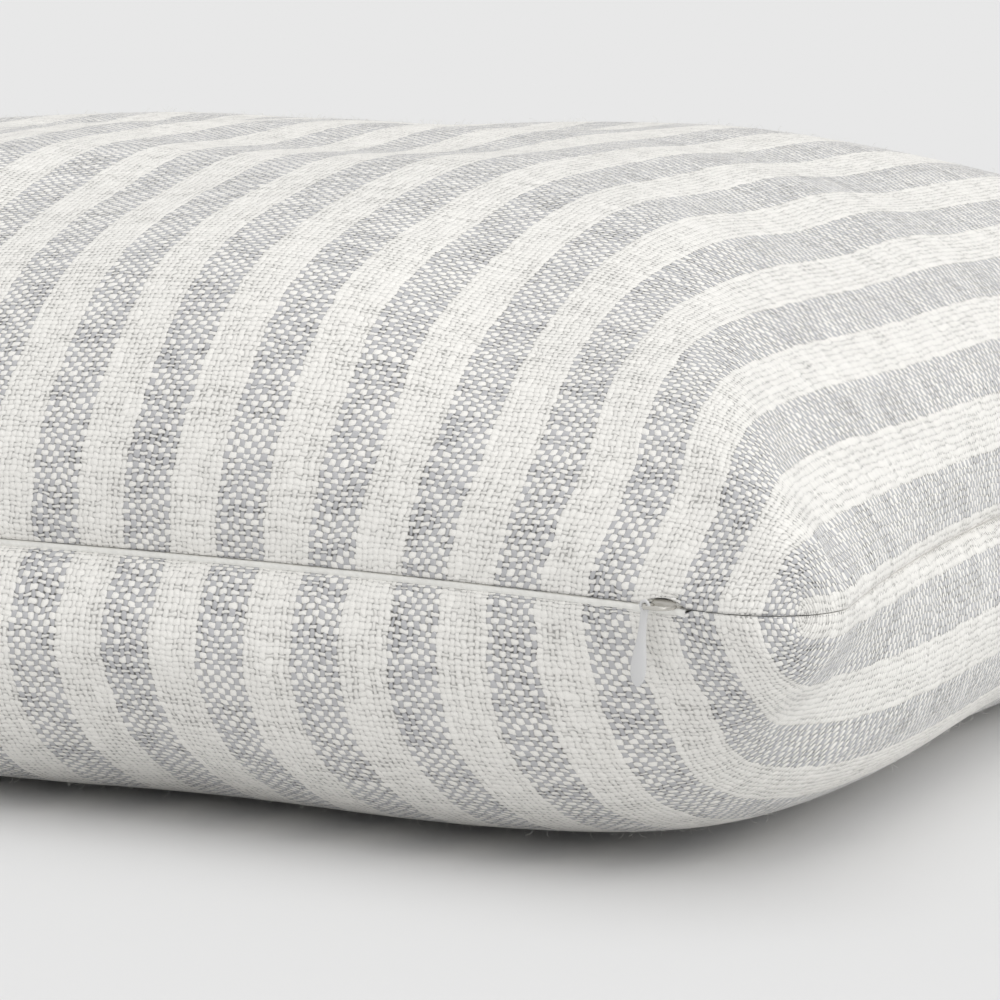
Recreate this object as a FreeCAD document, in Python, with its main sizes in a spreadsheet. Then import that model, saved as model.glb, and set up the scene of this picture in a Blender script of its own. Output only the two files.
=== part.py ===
import FreeCAD, Part
import Sketcher
import math
import os
from FreeCAD import Placement, Rotation, Vector

# A square throw pillow, lying flat, with a concealed zip along its front edge.
# Frame: origin on the floor under the middle, +Z up, +X along the zip, the zip on the -Y side.
# The cover is two cloth panels sewn edge to edge. Their seam lies in one level plane, and each
# edge is drawn in between the corners, so the zip follows a wide arc whose centre is in front.

SIZES = [
    # the cover
    ("corner_reach", 266.0, "centre line to a corner tip, along the seam"),
    ("zip_edge_pull", 38.0, "how far the zip edge and the rear edge are drawn in"),
    ("side_edge_pull", 24.0, "how far the left and right edges are drawn in"),
    ("nose_radius", 20.0, "radius of a corner at the seam"),
    ("seam_height", 69.0, "floor to the seam plane"),
    ("crown_rise", 90.0, "seam plane to the top"),
    ("fabric_thickness", 1.2, "woven cover cloth"),
    ("allowance_width", 10.0, "cloth turned inside along every seam"),
    # the insert
    ("insert_margin", 14.0, "cover seam to insert seam"),
    ("insert_gap", 0.8, "cover cloth to insert, top and bottom"),
    ("ticking_thickness", 0.8, "insert cloth"),
    ("fill_gap", 0.3, "ticking to fibre fill"),
    ("closing_length", 150.0, "hand-closed stretch of the insert's rear seam"),
    ("thread_width", 0.8, "sewing thread as laid"),
    ("stitch_inset", 2.0, "seam line to the thread in the allowance"),
    ("zip_end_stitch", 6.0, "stitched stretch past each end of the zip"),
    # the zip
    ("zip_half_length", 238.0, "middle of the zip to either end, along the arc"),
    ("mouth_half_gap", 1.3, "seam plane to each folded lip of the mouth"),
    ("tape_thickness", 0.6, ""),
    ("tape_width", 12.0, ""),
    ("tape_stitch_height", 8.0, "seam plane to the stitches that hold a tape"),
    ("coil_width", 2.4, "one row of the coil, across the tape"),
    ("coil_depth", 2.0, "the coil, square to the tape"),
    ("stop_length", 3.0, "along the zip"),
    ("layer_gap", 0.1, "between layers sewn to each other"),
    # the slider
    ("slider_length", 9.0, ""),
    ("slider_wall", 1.0, "back plate and flanges"),
    ("slider_clearance", 0.3, "slider to coil, tape and stops"),
    ("plate_corner", 2.0, "corner radius of the back plate"),
    ("web_length", 5.5, "the neck that passes between the two tapes"),
    ("web_thickness", 0.8, ""),
    ("web_clearance", 0.2, "neck to each tape and coil"),
    ("spine_width", 3.0, "face plate outside the mouth"),
    ("spine_thickness", 0.9, ""),
    ("spine_standoff", 0.6, "cloth to face plate"),
    ("post_radius", 0.5, "the two posts of the bridge"),
    ("post_spacing", 6.2, ""),
    ("bridge_opening", 1.8, "face plate to bridge bar"),
    ("bridge_thickness", 0.9, ""),
    ("bridge_width", 1.5, ""),
    # the pull
    ("pull_length", 17.5, "post to the tip of the pull"),
    ("pull_thickness", 1.0, ""),
    ("pull_eye_radius", 0.7, "hole round the post"),
    ("pull_ring_radius", 1.4, "outside of the eye"),
    ("pull_tip_radius", 1.95, "half the blade's greatest width"),
    # the care label
    ("label_width", 40.0, ""),
    ("label_height", 18.0, ""),
    ("label_thickness", 0.3, ""),
    ("label_offset", 80.0, "middle of the rear edge to the middle of the label"),
    ("label_gap", 1.0, "allowance to the label's fold"),
]

# Sizes worked out from the ones above.
DERIVED = [
    ("corner_centre", "Sizes.corner_reach - Sizes.nose_radius"),
    ("zip_radius", "corner_centre ^ 2 / (2 * Sizes.zip_edge_pull)"
                   " - Sizes.nose_radius + Sizes.zip_edge_pull / 2"),
    ("side_radius", "corner_centre ^ 2 / (2 * Sizes.side_edge_pull)"
                    " - Sizes.nose_radius + Sizes.side_edge_pull / 2"),
    ("zip_middle", "Sizes.corner_reach - Sizes.zip_edge_pull"),
    ("side_middle", "Sizes.corner_reach - Sizes.side_edge_pull"),
    ("tape_half_gap", "Sizes.web_thickness / 2 + Sizes.web_clearance"),
    ("tape_front", "2 * Sizes.fabric_thickness + Sizes.layer_gap"),
    ("coil_front", "tape_front + Sizes.tape_thickness + Sizes.layer_gap"),
    ("plate_front", "coil_front + Sizes.coil_depth + Sizes.slider_clearance"),
    ("flange_inside", "tape_half_gap + Sizes.coil_width + Sizes.slider_clearance"),
    ("spine_front", "Sizes.spine_standoff + Sizes.spine_thickness"),
    ("pull_plane", "spine_front + Sizes.bridge_opening / 2"),
    ("bridge_back", "spine_front + Sizes.bridge_opening"),
    ("chain_half_length", "Sizes.zip_half_length - Sizes.stop_length"),
    ("slider_rest", "chain_half_length - Sizes.slider_length / 2 - Sizes.slider_clearance"),
]

# Level outlines of a half cushion: share of its profile, from the seam to the cap.
LEVELS = (0.0, 0.1, 0.2, 0.34, 0.52, 0.74, 0.9, 1.0)
UPRIGHT_SHARE = 0.18    # the edge stands upright this far up its profile, to hold the tapes
TOP_CAP = 0.98      # the profile ends just below its apex, in a small level patch
BASE_CAP = 0.90     # the underside ends lower on its profile: the weight presses it flat
PLAN_POWER = 2.6    # how square the profile is, outwards
RISE_POWER = 2.4    # how square the profile is, upwards
CROWN_BULGE = 4.0   # how round the outlines become near the cap, in millimetres
SMALLEST_NOSE = 3.0

FRONT, RIGHT, REAR, LEFT = 0.0, 90.0, 180.0, 270.0

doc = FreeCAD.newDocument("ThrowPillow")


def fill_sheet(name, rows):
    """Spreadsheet whose column B holds one aliased cell for each row."""
    sheet = doc.addObject("Spreadsheet::Sheet", name)
    for number, (alias, content, *note) in enumerate(rows, start=1):
        sheet.set("A%d" % number, alias)
        sheet.set("B%d" % number, str(content))
        sheet.set("C%d" % number, note[0] if note else "")
        sheet.setAlias("B%d" % number, alias)
    doc.recompute()
    return sheet


sizes = fill_sheet("Sizes", SIZES)
derived = fill_sheet("Derived", [(alias, "=" + formula) for alias, formula in DERIVED])


SIZE_NAMES = {row[0] for row in SIZES}


def size(alias):
    """Value of a driving or derived dimension, in millimetres."""
    sheet = sizes if alias in SIZE_NAMES else derived
    return float(getattr(sheet, alias))


# ---------------------------------------------------------------- outlines of the cushion
def edge_radius(tip, pull, nose):
    """Radius of an edge arc that meets both corner arcs smoothly; negative when it bows out."""
    corner = tip - nose
    return corner * corner / (2.0 * pull) - nose + pull / 2.0


def outline(tip, nose, pull_x, pull_y, height):
    """Closed wire of four edge arcs and four corner arcs at one height."""
    centre = tip - nose
    radius_x = edge_radius(tip, pull_x, nose)
    radius_y = edge_radius(tip, pull_y, nose)
    mid_x = tip - pull_x
    mid_y = tip - pull_y
    share_x = nose / (radius_x + nose)
    share_y = nose / (radius_y + nose)
    side = (centre + (mid_x + radius_x - centre) * share_x, centre - centre * share_x)
    front = (centre - centre * share_y, centre + (mid_y + radius_y - centre) * share_y)
    bisector = Vector(side[0] + front[0] - 2.0 * centre, side[1] + front[1] - 2.0 * centre, 0)
    bisector.normalize()
    corner = (centre + nose * bisector.x, centre + nose * bisector.y)

    def at(point, sign_x, sign_y):
        return Vector(sign_x * point[0], sign_y * point[1], height)

    arcs = [
        Part.Arc(at(side, 1, -1), Vector(mid_x, 0, height), at(side, 1, 1)),
        Part.Arc(at(side, 1, 1), at(corner, 1, 1), at(front, 1, 1)),
        Part.Arc(at(front, 1, 1), Vector(0, mid_y, height), at(front, -1, 1)),
        Part.Arc(at(front, -1, 1), at(corner, -1, 1), at(side, -1, 1)),
        Part.Arc(at(side, -1, 1), Vector(-mid_x, 0, height), at(side, -1, -1)),
        Part.Arc(at(side, -1, -1), at(corner, -1, -1), at(front, -1, -1)),
        Part.Arc(at(front, -1, -1), Vector(0, -mid_y, height), at(front, 1, -1)),
        Part.Arc(at(front, 1, -1), at(corner, 1, -1), at(side, 1, -1)),
    ]
    return Part.Wire([arc.toShape() for arc in arcs])


def seam_outline(inset, height):
    """The seam's outline, moved inwards by inset."""
    tip = size("corner_reach") - inset
    nose = max(size("nose_radius") - inset, SMALLEST_NOSE)
    return outline(tip, nose, size("side_edge_pull"), size("zip_edge_pull"), height)


def level_outline(inset, share, height):
    """Outline at one share of the profile: smaller and rounder towards the cap."""
    narrowing = (1.0 - share ** RISE_POWER) ** (1.0 / PLAN_POWER)
    mid_x = (size("side_middle") - inset) * narrowing
    mid_y = (size("zip_middle") - inset) * narrowing
    middle = (mid_x + mid_y) / 2.0
    mean_pull = (size("side_edge_pull") + size("zip_edge_pull")) / 2.0
    leaning = max(share - UPRIGHT_SHARE, 0.0) / (1.0 - UPRIGHT_SHARE)
    tip = middle + mean_pull * (1.0 - leaning) ** 2 - CROWN_BULGE * share ** 2
    seam_nose = max(size("nose_radius") - inset, SMALLEST_NOSE)
    nose = seam_nose + (0.8 * middle - seam_nose) * share ** 2
    return outline(tip, nose, tip - mid_x, tip - mid_y, height)


# ---------------------------------------------------------------- building blocks
def bind(target, **formulas):
    """Binds properties of an object to formulas of the two sheets."""
    for name, formula in formulas.items():
        target.setExpression(name, formula)
    return target


def half_cushion(name, inset, rise, side, cap):
    """Solid half cushion on one side of the seam plane: side is 1 for up, -1 for down."""
    sections = []
    for number, level in enumerate(LEVELS):
        wire = doc.addObject("Part::Feature", "%s_level_%d" % (name, number))
        wire.Shape = level_outline(inset, level * cap, size("seam_height") + side * rise * level)
        sections.append(wire)
    loft = doc.addObject("Part::Loft", name)
    loft.Sections = sections
    loft.Solid = True
    loft.Ruled = True
    return loft


def cut_away(name, base, tool):
    """Part::Cut of one object by another."""
    result = doc.addObject("Part::Cut", name)
    result.Base = base
    result.Tool = tool
    return result


def fuse(name, parts):
    """Part::MultiFuse of several objects."""
    result = doc.addObject("Part::MultiFuse", name)
    result.Shapes = parts
    result.Refine = False
    return result


def shell(name, inset, rise, thickness, side, cap):
    """Half cushion hollowed to one cloth thickness, open at the seam plane."""
    outer = half_cushion(name + "_outside", inset, rise, side, cap)
    inner = half_cushion(name + "_inside", inset + thickness, rise - thickness, side, cap)
    return cut_away(name, outer, inner)


def seam_ring(name, inset_out, inset_in, low, tall):
    """Flat ring that follows the seam between two insets."""
    outer = Part.Face(seam_outline(inset_out, low))
    inner = Part.Face(seam_outline(inset_in, low))
    ring = doc.addObject("Part::Feature", name)
    ring.Shape = outer.cut(inner).extrude(Vector(0, 0, tall))
    return ring


def slab(name, length, width, height, x, y, z):
    """Part::Box whose sides and lowest corner are formulas."""
    block = doc.addObject("Part::Box", name)
    bind(block, Length=length, Width=width, Height=height)
    block.setExpression("Placement.Base.x", x)
    block.setExpression("Placement.Base.y", y)
    block.setExpression("Placement.Base.z", z)
    return block


def rounded(name, block, direction, radius):
    """Part::Fillet of a block's four edges that run in one direction."""
    doc.recompute()
    fillet = doc.addObject("Part::Fillet", name)
    fillet.Base = block
    edges = []
    for number, edge in enumerate(block.Shape.Edges, start=1):
        run = edge.Vertexes[1].Point - edge.Vertexes[0].Point
        if run.cross(direction).Length < 1e-6:
            edges.append((number, radius, radius))
    fillet.Edges = edges
    return fillet


def edge_frame(turn, along=0.0):
    """Frame at the centre of an edge's arc. Its +Y points at the edge, 'along' mm from its middle."""
    zip_edge = turn in (FRONT, REAR)
    radius = size("zip_radius") if zip_edge else size("side_radius")
    reach = radius + (size("zip_middle") if zip_edge else size("side_middle"))
    facing = Rotation(Vector(0, 0, 1), turn)
    swing = Rotation(Vector(0, 0, 1), -math.degrees(along / radius))
    return Placement(facing.multVec(Vector(0, -reach, 0)), facing.multiply(swing))


def plane_of(body, role):
    """Origin plane or axis of a body, by its role."""
    return [item for item in body.Origin.OriginFeatures if item.Role == role][0]


def arc_band(name, turn, depth_at, depth, low, tall, half_length, along=0.0):
    """Body: a rectangle swept along an edge's arc. Its sizes are formulas, 'along' is in mm."""
    radius = "Derived.zip_radius" if turn in (FRONT, REAR) else "Derived.side_radius"
    body = doc.addObject("PartDesign::Body", name)
    sketch = body.newObject("Sketcher::SketchObject", name + "_section")
    sketch.AttachmentSupport = [(plane_of(body, "YZ_Plane"), "")]
    sketch.MapMode = "FlatFace"
    formulas = {
        "near": "%s + %s" % (radius, depth_at),
        "low": low,
        "depth": depth,
        "tall": tall,
    }
    value = {key: float(sizes.evalExpression(text)) for key, text in formulas.items()}
    corners = [
        Vector(value["near"], value["low"], 0),
        Vector(value["near"] + value["depth"], value["low"], 0),
        Vector(value["near"] + value["depth"], value["low"] + value["tall"], 0),
        Vector(value["near"], value["low"] + value["tall"], 0),
    ]
    for k in range(4):
        sketch.addGeometry(Part.LineSegment(corners[k], corners[(k + 1) % 4]))
    for k in range(4):
        sketch.addConstraint(Sketcher.Constraint("Coincident", k, 2, (k + 1) % 4, 1))
    for k in (0, 2):
        sketch.addConstraint(Sketcher.Constraint("Horizontal", k))
        sketch.addConstraint(Sketcher.Constraint("Vertical", k + 1))
    places = {
        "near": ("DistanceX", -1, 1, 0, 1),
        "low": ("DistanceY", -1, 1, 0, 1),
        "depth": ("DistanceX", 0, 1, 0, 2),
        "tall": ("DistanceY", 1, 1, 1, 2),
    }
    for key, place in places.items():
        number = sketch.addConstraint(Sketcher.Constraint(*place, value[key]))
        sketch.renameConstraint(number, key)
        sketch.setExpression("Constraints." + key, formulas[key])
    sweep = body.newObject("PartDesign::Revolution", name + "_sweep")
    sweep.Profile = sketch
    sweep.ReferenceAxis = (plane_of(body, "Z_Axis"), [""])
    sweep.Midplane = True
    sweep.setExpression("Angle", "2 * (%s) / %s * 180 / pi" % (half_length, radius))
    body.Placement = edge_frame(turn, along)
    return body


# ---------------------------------------------------------------- cover panels
seam = "Sizes.seam_height"
zip_half = "Sizes.zip_half_length"
pieces = {}


def cover_panel(name, side, rise, cap):
    """Cloth panel with its allowance turned in along the sewn seams and trimmed beside the zip."""
    skin = shell(name + "_skin", 0.0, rise, size("fabric_thickness"), side, cap)
    thickness = size("fabric_thickness")
    flange = seam_ring(
        name + "_allowance",
        thickness / 2.0,
        thickness + size("allowance_width"),
        size("seam_height") + min(side, 0) * thickness,
        thickness,
    )
    reach = "(Derived.zip_middle - Sizes.allowance_width - 3 * Sizes.fabric_thickness)"
    gap = slab(
        name + "_zip_gap",
        "2 * " + zip_half,
        "Sizes.corner_reach",
        "4 * Sizes.fabric_thickness",
        "-" + zip_half,
        "-%s - Sizes.corner_reach" % reach,
        seam + " - 2 * Sizes.fabric_thickness",
    )
    trimmed = cut_away(name + "_trimmed_allowance", flange, gap)
    mouth = slab(
        name + "_mouth_gap",
        "2 * " + zip_half,
        "Sizes.corner_reach",
        "2 * Sizes.mouth_half_gap",
        "-" + zip_half,
        "-%s - Sizes.corner_reach" % reach,
        seam + " - Sizes.mouth_half_gap",
    )
    whole = fuse(name + "_joined", [skin, trimmed])
    return cut_away(name, whole, mouth)


pieces["cover_front_panel"] = cover_panel("cover_front_panel", 1, size("crown_rise"), TOP_CAP)
pieces["cover_back_panel"] = cover_panel("cover_back_panel", -1, size("seam_height"), BASE_CAP)


# ---------------------------------------------------------------- cover threads
def seam_thread(name, turn, half_length, along=0.0):
    """Lockstitch through both allowances: one thread lies above them and one below."""
    place = "Sizes.fabric_thickness + Sizes.stitch_inset"
    above = arc_band(
        name + "_above", turn, place, "Sizes.thread_width",
        seam + " + Sizes.fabric_thickness + Sizes.layer_gap", "Sizes.thread_width / 2",
        half_length, along,
    )
    below = arc_band(
        name + "_below", turn, place, "Sizes.thread_width",
        seam + " - Sizes.fabric_thickness - Sizes.layer_gap - Sizes.thread_width / 2",
        "Sizes.thread_width / 2", half_length, along,
    )
    return [above, below]


def group(name, parts):
    """Compound of separate solids that share one node."""
    result = doc.addObject("Part::Compound", name)
    result.Links = parts
    return result


LONG_SEAM = "(Derived.corner_centre - 3 * Sizes.allowance_width)"
for label, turn in (("right", RIGHT), ("rear", REAR), ("left", LEFT)):
    name = "seam_thread_" + label
    pieces[name] = group(name, seam_thread(name, turn, LONG_SEAM))

# The seam is closed for a short stretch between each end of the zip and the corner.
end_half = "Sizes.zip_end_stitch / 2"
end_along = size("zip_half_length") + size("stop_length") + size("zip_end_stitch") / 2.0
ends = seam_thread("zip_end_right", FRONT, end_half, end_along)
ends += seam_thread("zip_end_left", FRONT, end_half, -end_along)
pieces["seam_thread_zip_ends"] = group("seam_thread_zip_ends", ends)


# ---------------------------------------------------------------- zip tapes, coil and stops
def beside_seam(distance, tall, side):
    """Formula for the lowest point of a band that starts at a distance from the seam plane."""
    return "%s + %s" % (seam, distance) if side > 0 else "%s - (%s) - (%s)" % (seam, distance, tall)


for label, side in (("upper", 1), ("lower", -1)):
    name = "zipper_tape_" + label
    pieces[name] = arc_band(
        name, FRONT, "Derived.tape_front", "Sizes.tape_thickness",
        beside_seam("Derived.tape_half_gap", "Sizes.tape_width", side), "Sizes.tape_width",
        zip_half,
    )
    name = "zipper_coil_" + label
    pieces[name] = arc_band(
        name, FRONT, "Derived.coil_front", "Sizes.coil_depth",
        beside_seam("Derived.tape_half_gap", "Sizes.coil_width", side), "Sizes.coil_width",
        "Derived.chain_half_length",
    )
    name = "zip_stitch_" + label
    pieces[name] = arc_band(
        name, FRONT, "Derived.coil_front", "Sizes.thread_width / 2",
        beside_seam("Sizes.tape_stitch_height", "Sizes.thread_width", side),
        "Sizes.thread_width", zip_half,
    )

stop_along = size("zip_half_length") - size("stop_length") / 2.0 + size("layer_gap")
stop_half = "Sizes.stop_length / 2 - Sizes.layer_gap"
top_stops = [
    arc_band(
        "top_stop_" + label, FRONT, "Derived.coil_front", "Sizes.coil_depth",
        beside_seam("Derived.tape_half_gap", "Sizes.coil_width", side), "Sizes.coil_width",
        stop_half, stop_along,
    )
    for label, side in (("upper", 1), ("lower", -1))
]
pieces["zipper_top_stops"] = group("zipper_top_stops", top_stops)
pieces["zipper_bottom_stop"] = arc_band(
    "zipper_bottom_stop", FRONT, "Derived.coil_front", "Sizes.coil_depth",
    seam + " - Derived.tape_half_gap - Sizes.coil_width",
    "2 * Derived.tape_half_gap + 2 * Sizes.coil_width", stop_half, -stop_along,
)

# ---------------------------------------------------------------- slider
# In the slider's frame X runs along the zip and Y from the arc's centre to the zip.
face = "Derived.zip_radius"
ACROSS = Vector(0, 1, 0)
UPWARDS = Vector(0, 0, 1)
slider_start = "-Sizes.slider_length / 2"
plate = rounded(
    "slider_back_plate",
    slab(
        "slider_back_plate_block", "Sizes.slider_length", "Sizes.slider_wall",
        "2 * (Derived.flange_inside + Sizes.slider_wall)",
        slider_start, face + " + Derived.plate_front",
        seam + " - Derived.flange_inside - Sizes.slider_wall",
    ),
    ACROSS,
    size("plate_corner"),
)
flange_depth = "Derived.plate_front - Derived.coil_front - Sizes.slider_clearance + Sizes.slider_wall / 2"
flanges = [
    slab(
        "slider_flange_" + label, "Sizes.slider_length - 2 * Sizes.plate_corner", flange_depth,
        "Sizes.slider_wall", slider_start + " + Sizes.plate_corner",
        face + " + Derived.coil_front + Sizes.slider_clearance", place,
    )
    for label, place in (
        ("upper", seam + " + Derived.flange_inside"),
        ("lower", seam + " - Derived.flange_inside - Sizes.slider_wall"),
    )
]
web = slab(
    "slider_web", "Sizes.web_length",
    "Derived.plate_front + Sizes.spine_standoff + Sizes.slider_wall / 2 + Sizes.spine_thickness / 2",
    "Sizes.web_thickness", "-Sizes.web_length / 2",
    face + " - Sizes.spine_standoff - Sizes.spine_thickness / 2",
    seam + " - Sizes.web_thickness / 2",
)
spine = rounded(
    "slider_face_plate",
    slab(
        "slider_face_plate_block", "Sizes.slider_length", "Sizes.spine_thickness",
        "Sizes.spine_width", slider_start, face + " - Derived.spine_front",
        seam + " - Sizes.spine_width / 2",
    ),
    ACROSS,
    size("spine_width") * 0.45,
)


def post(name, x):
    """One of the two round posts that carry the bridge bar."""
    pin = doc.addObject("Part::Cylinder", name)
    bind(pin, Radius="Sizes.post_radius")
    pin.setExpression("Height", "Sizes.bridge_opening + Sizes.spine_thickness")
    pin.Placement = Placement(
        Vector(x, size("zip_radius") - size("spine_front") + size("spine_thickness") / 2.0,
               size("seam_height")),
        Rotation(Vector(1, 0, 0), 90),
    )
    return pin


posts = [
    post("slider_post_left", -size("post_spacing") / 2.0),
    post("slider_post_right", size("post_spacing") / 2.0),
]
bridge = rounded(
    "slider_bridge",
    slab(
        "slider_bridge_block", "Sizes.post_spacing + 3 * Sizes.post_radius",
        "Sizes.bridge_thickness", "Sizes.bridge_width",
        "-Sizes.post_spacing / 2 - 1.5 * Sizes.post_radius",
        face + " - Derived.bridge_back - Sizes.bridge_thickness",
        seam + " - Sizes.bridge_width / 2",
    ),
    UPWARDS,
    size("bridge_thickness") * 0.45,
)
slider = fuse("zipper_slider", [plate, web, spine, bridge] + flanges + posts)
slider.Placement = edge_frame(FRONT, size("slider_rest"))
pieces["zipper_slider"] = slider

# ---------------------------------------------------------------- pull
# A flat drop-shaped tab with an eye round the left post. It hangs straight down.
pull = doc.addObject("PartDesign::Body", "zipper_pull")
tab = pull.newObject("Sketcher::SketchObject", "pull_outline")
tab.AttachmentSupport = [(plane_of(pull, "XZ_Plane"), "")]
tab.MapMode = "FlatFace"
ring = size("pull_ring_radius")
tip = size("pull_tip_radius")
drop = size("pull_length") - tip
lean = (tip - ring) / drop
rise_side = math.sqrt(1.0 - lean * lean)
turn_angle = math.atan2(lean, rise_side)
tab.addGeometry(Part.ArcOfCircle(
    Part.Circle(Vector(0, 0, 0), Vector(0, 0, 1), ring), turn_angle, math.pi - turn_angle))
tab.addGeometry(Part.ArcOfCircle(
    Part.Circle(Vector(0, -drop, 0), Vector(0, 0, 1), tip), math.pi - turn_angle,
    2.0 * math.pi + turn_angle))
right_top = Vector(ring * rise_side, ring * lean, 0)
right_low = Vector(tip * rise_side, -drop + tip * lean, 0)
tab.addGeometry(Part.LineSegment(right_low, right_top))
tab.addGeometry(Part.LineSegment(
    Vector(-right_top.x, right_top.y, 0), Vector(-right_low.x, right_low.y, 0)))
tab.addGeometry(Part.Circle(Vector(0, 0, 0), Vector(0, 0, 1), size("pull_eye_radius")))
tab.addConstraint(Sketcher.Constraint("Coincident", 0, 3, -1, 1))
tab.addConstraint(Sketcher.Constraint("Coincident", 4, 3, -1, 1))
tab.addConstraint(Sketcher.Constraint("PointOnObject", 1, 3, -2))
tab.addConstraint(Sketcher.Constraint("Tangent", 2, 2, 0, 1))
tab.addConstraint(Sketcher.Constraint("Tangent", 0, 2, 3, 1))
tab.addConstraint(Sketcher.Constraint("Tangent", 3, 2, 1, 1))
tab.addConstraint(Sketcher.Constraint("Tangent", 1, 2, 2, 1))
tab_sizes = {
    "ring": (("Radius", 0, ring), "Sizes.pull_ring_radius"),
    "tip": (("Radius", 1, tip), "Sizes.pull_tip_radius"),
    "eye": (("Radius", 4, size("pull_eye_radius")), "Sizes.pull_eye_radius"),
    "drop": (("DistanceY", 1, 3, -1, 1, drop), "Sizes.pull_length - Sizes.pull_tip_radius"),
}
for key, (constraint, formula) in tab_sizes.items():
    number = tab.addConstraint(Sketcher.Constraint(*constraint))
    tab.renameConstraint(number, key)
    tab.setExpression("Constraints." + key, formula)
pad = pull.newObject("PartDesign::Pad", "pull_thickness")
pad.Profile = tab
pad.Midplane = True
pad.setExpression("Length", "Sizes.pull_thickness")
pull_home = Vector(
    -size("post_spacing") / 2.0,
    size("zip_radius") - size("pull_plane"),
    size("seam_height"),
)
pull.Placement = edge_frame(FRONT, size("slider_rest")).multiply(Placement(pull_home, Rotation()))
pieces["zipper_pull"] = pull

# ---------------------------------------------------------------- care label
pieces["care_label"] = slab(
    "care_label", "Sizes.label_width", "Sizes.label_thickness", "Sizes.label_height",
    "Sizes.label_offset - Sizes.label_width / 2",
    "Derived.zip_middle - Sizes.allowance_width / 2",
    seam + " + Sizes.fabric_thickness + Sizes.label_gap",
)

# ---------------------------------------------------------------- insert
INSET = size("insert_margin")
TICKING = size("ticking_thickness")
LOSS = size("fabric_thickness") + size("insert_gap")
for label, side, rise, cap in (
    ("front", 1, size("crown_rise") - LOSS, TOP_CAP),
    ("back", -1, size("seam_height") - LOSS, BASE_CAP),
):
    name = "insert_%s_shell" % label
    pieces[name] = shell(name, INSET, rise, TICKING, side, cap)

fill_inset = INSET + TICKING + size("fill_gap")
fill_loss = LOSS + TICKING + size("fill_gap")
fill_top = half_cushion("fill_top", fill_inset, size("crown_rise") - fill_loss, 1, TOP_CAP)
fill_base = half_cushion("fill_base", fill_inset, size("seam_height") - fill_loss, -1, BASE_CAP)
pieces["insert_fill"] = fuse("insert_fill", [fill_top, fill_base])

THREAD = size("thread_width")
ring_out = INSET - size("layer_gap") - THREAD
ring_in = INSET - size("layer_gap")
low = size("seam_height") - THREAD / 2.0
closing_zone = [
    slab(
        "closing_zone_%d" % number, "Sizes.closing_length", "Sizes.corner_reach",
        "4 * Sizes.thread_width", "-Sizes.closing_length / 2", "0",
        seam + " - 2 * Sizes.thread_width",
    )
    for number in (1, 2)
]
pieces["insert_seam_thread"] = cut_away(
    "insert_seam_thread", seam_ring("insert_seam_ring", ring_out, ring_in, low, THREAD),
    closing_zone[0],
)
closing = doc.addObject("Part::Common", "insert_closing_stitch")
closing.Base = seam_ring("insert_closing_ring", ring_out, ring_in, low - THREAD / 4.0, 1.5 * THREAD)
closing.Tool = closing_zone[1]
pieces["insert_closing_stitch"] = closing

# ---------------------------------------------------------------- check and write
doc.recompute()
for item in doc.Objects:
    if "Invalid" in item.State or "Error" in item.State:
        raise RuntimeError("%s failed to build: %s" % (item.Label, item.State))
os.makedirs("parts", exist_ok=True)
for name, piece in pieces.items():
    shape = piece.Shape
    if shape.isNull() or not shape.isValid() or not shape.Solids:
        raise RuntimeError("%s has no sound solid" % name)
    piece.Label = name
for name, piece in pieces.items():
    piece.Shape.exportStep("parts/%s.step" % name)
    bounds = piece.Shape.BoundBox
    print("%-24s %d solid(s) %10.1f mm3  x %.1f..%.1f  y %.1f..%.1f  z %.1f..%.1f" % (
        name, len(piece.Shape.Solids), piece.Shape.Volume, bounds.XMin, bounds.XMax,
        bounds.YMin, bounds.YMax, bounds.ZMin, bounds.ZMax))
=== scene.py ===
# %% [markdown]
# A throw pillow that lies flat, seen close to the end of its zip. The CAD model has the right size
# and its zip runs on a true arc, but its cushion halves are plain. This script dresses it: a
# woven cover shaped by its own seams, the zip's folded tapes, a cast slider and a drop-shaped
# pull. Everything is in the CAD model's own axes, so nothing is fitted afterwards.

import math

import bmesh
import bpy
import numpy as np
from mathutils import Matrix, Vector


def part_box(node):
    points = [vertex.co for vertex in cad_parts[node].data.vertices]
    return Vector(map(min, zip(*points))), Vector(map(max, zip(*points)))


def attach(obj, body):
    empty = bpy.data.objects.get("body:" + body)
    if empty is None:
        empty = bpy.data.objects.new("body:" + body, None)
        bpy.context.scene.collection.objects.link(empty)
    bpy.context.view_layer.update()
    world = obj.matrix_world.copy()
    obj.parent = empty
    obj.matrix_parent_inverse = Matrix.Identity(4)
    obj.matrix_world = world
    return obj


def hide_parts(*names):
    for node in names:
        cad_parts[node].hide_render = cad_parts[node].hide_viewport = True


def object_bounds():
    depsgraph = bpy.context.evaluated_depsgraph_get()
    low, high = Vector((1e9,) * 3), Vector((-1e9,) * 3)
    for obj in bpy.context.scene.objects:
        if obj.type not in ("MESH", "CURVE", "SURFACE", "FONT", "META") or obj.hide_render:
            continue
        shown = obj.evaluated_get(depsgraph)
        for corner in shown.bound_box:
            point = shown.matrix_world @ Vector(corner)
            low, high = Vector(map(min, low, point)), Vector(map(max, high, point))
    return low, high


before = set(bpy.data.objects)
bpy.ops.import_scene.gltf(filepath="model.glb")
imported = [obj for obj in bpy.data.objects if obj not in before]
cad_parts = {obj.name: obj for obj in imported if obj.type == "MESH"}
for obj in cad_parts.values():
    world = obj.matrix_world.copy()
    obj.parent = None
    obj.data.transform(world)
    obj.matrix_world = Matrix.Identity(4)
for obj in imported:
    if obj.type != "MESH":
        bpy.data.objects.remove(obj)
CAD_BOX = [list(corner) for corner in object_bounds()]
MM = 0.001
print("CAD box in mm", [[round(value / MM, 1) for value in corner] for corner in CAD_BOX])

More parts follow.
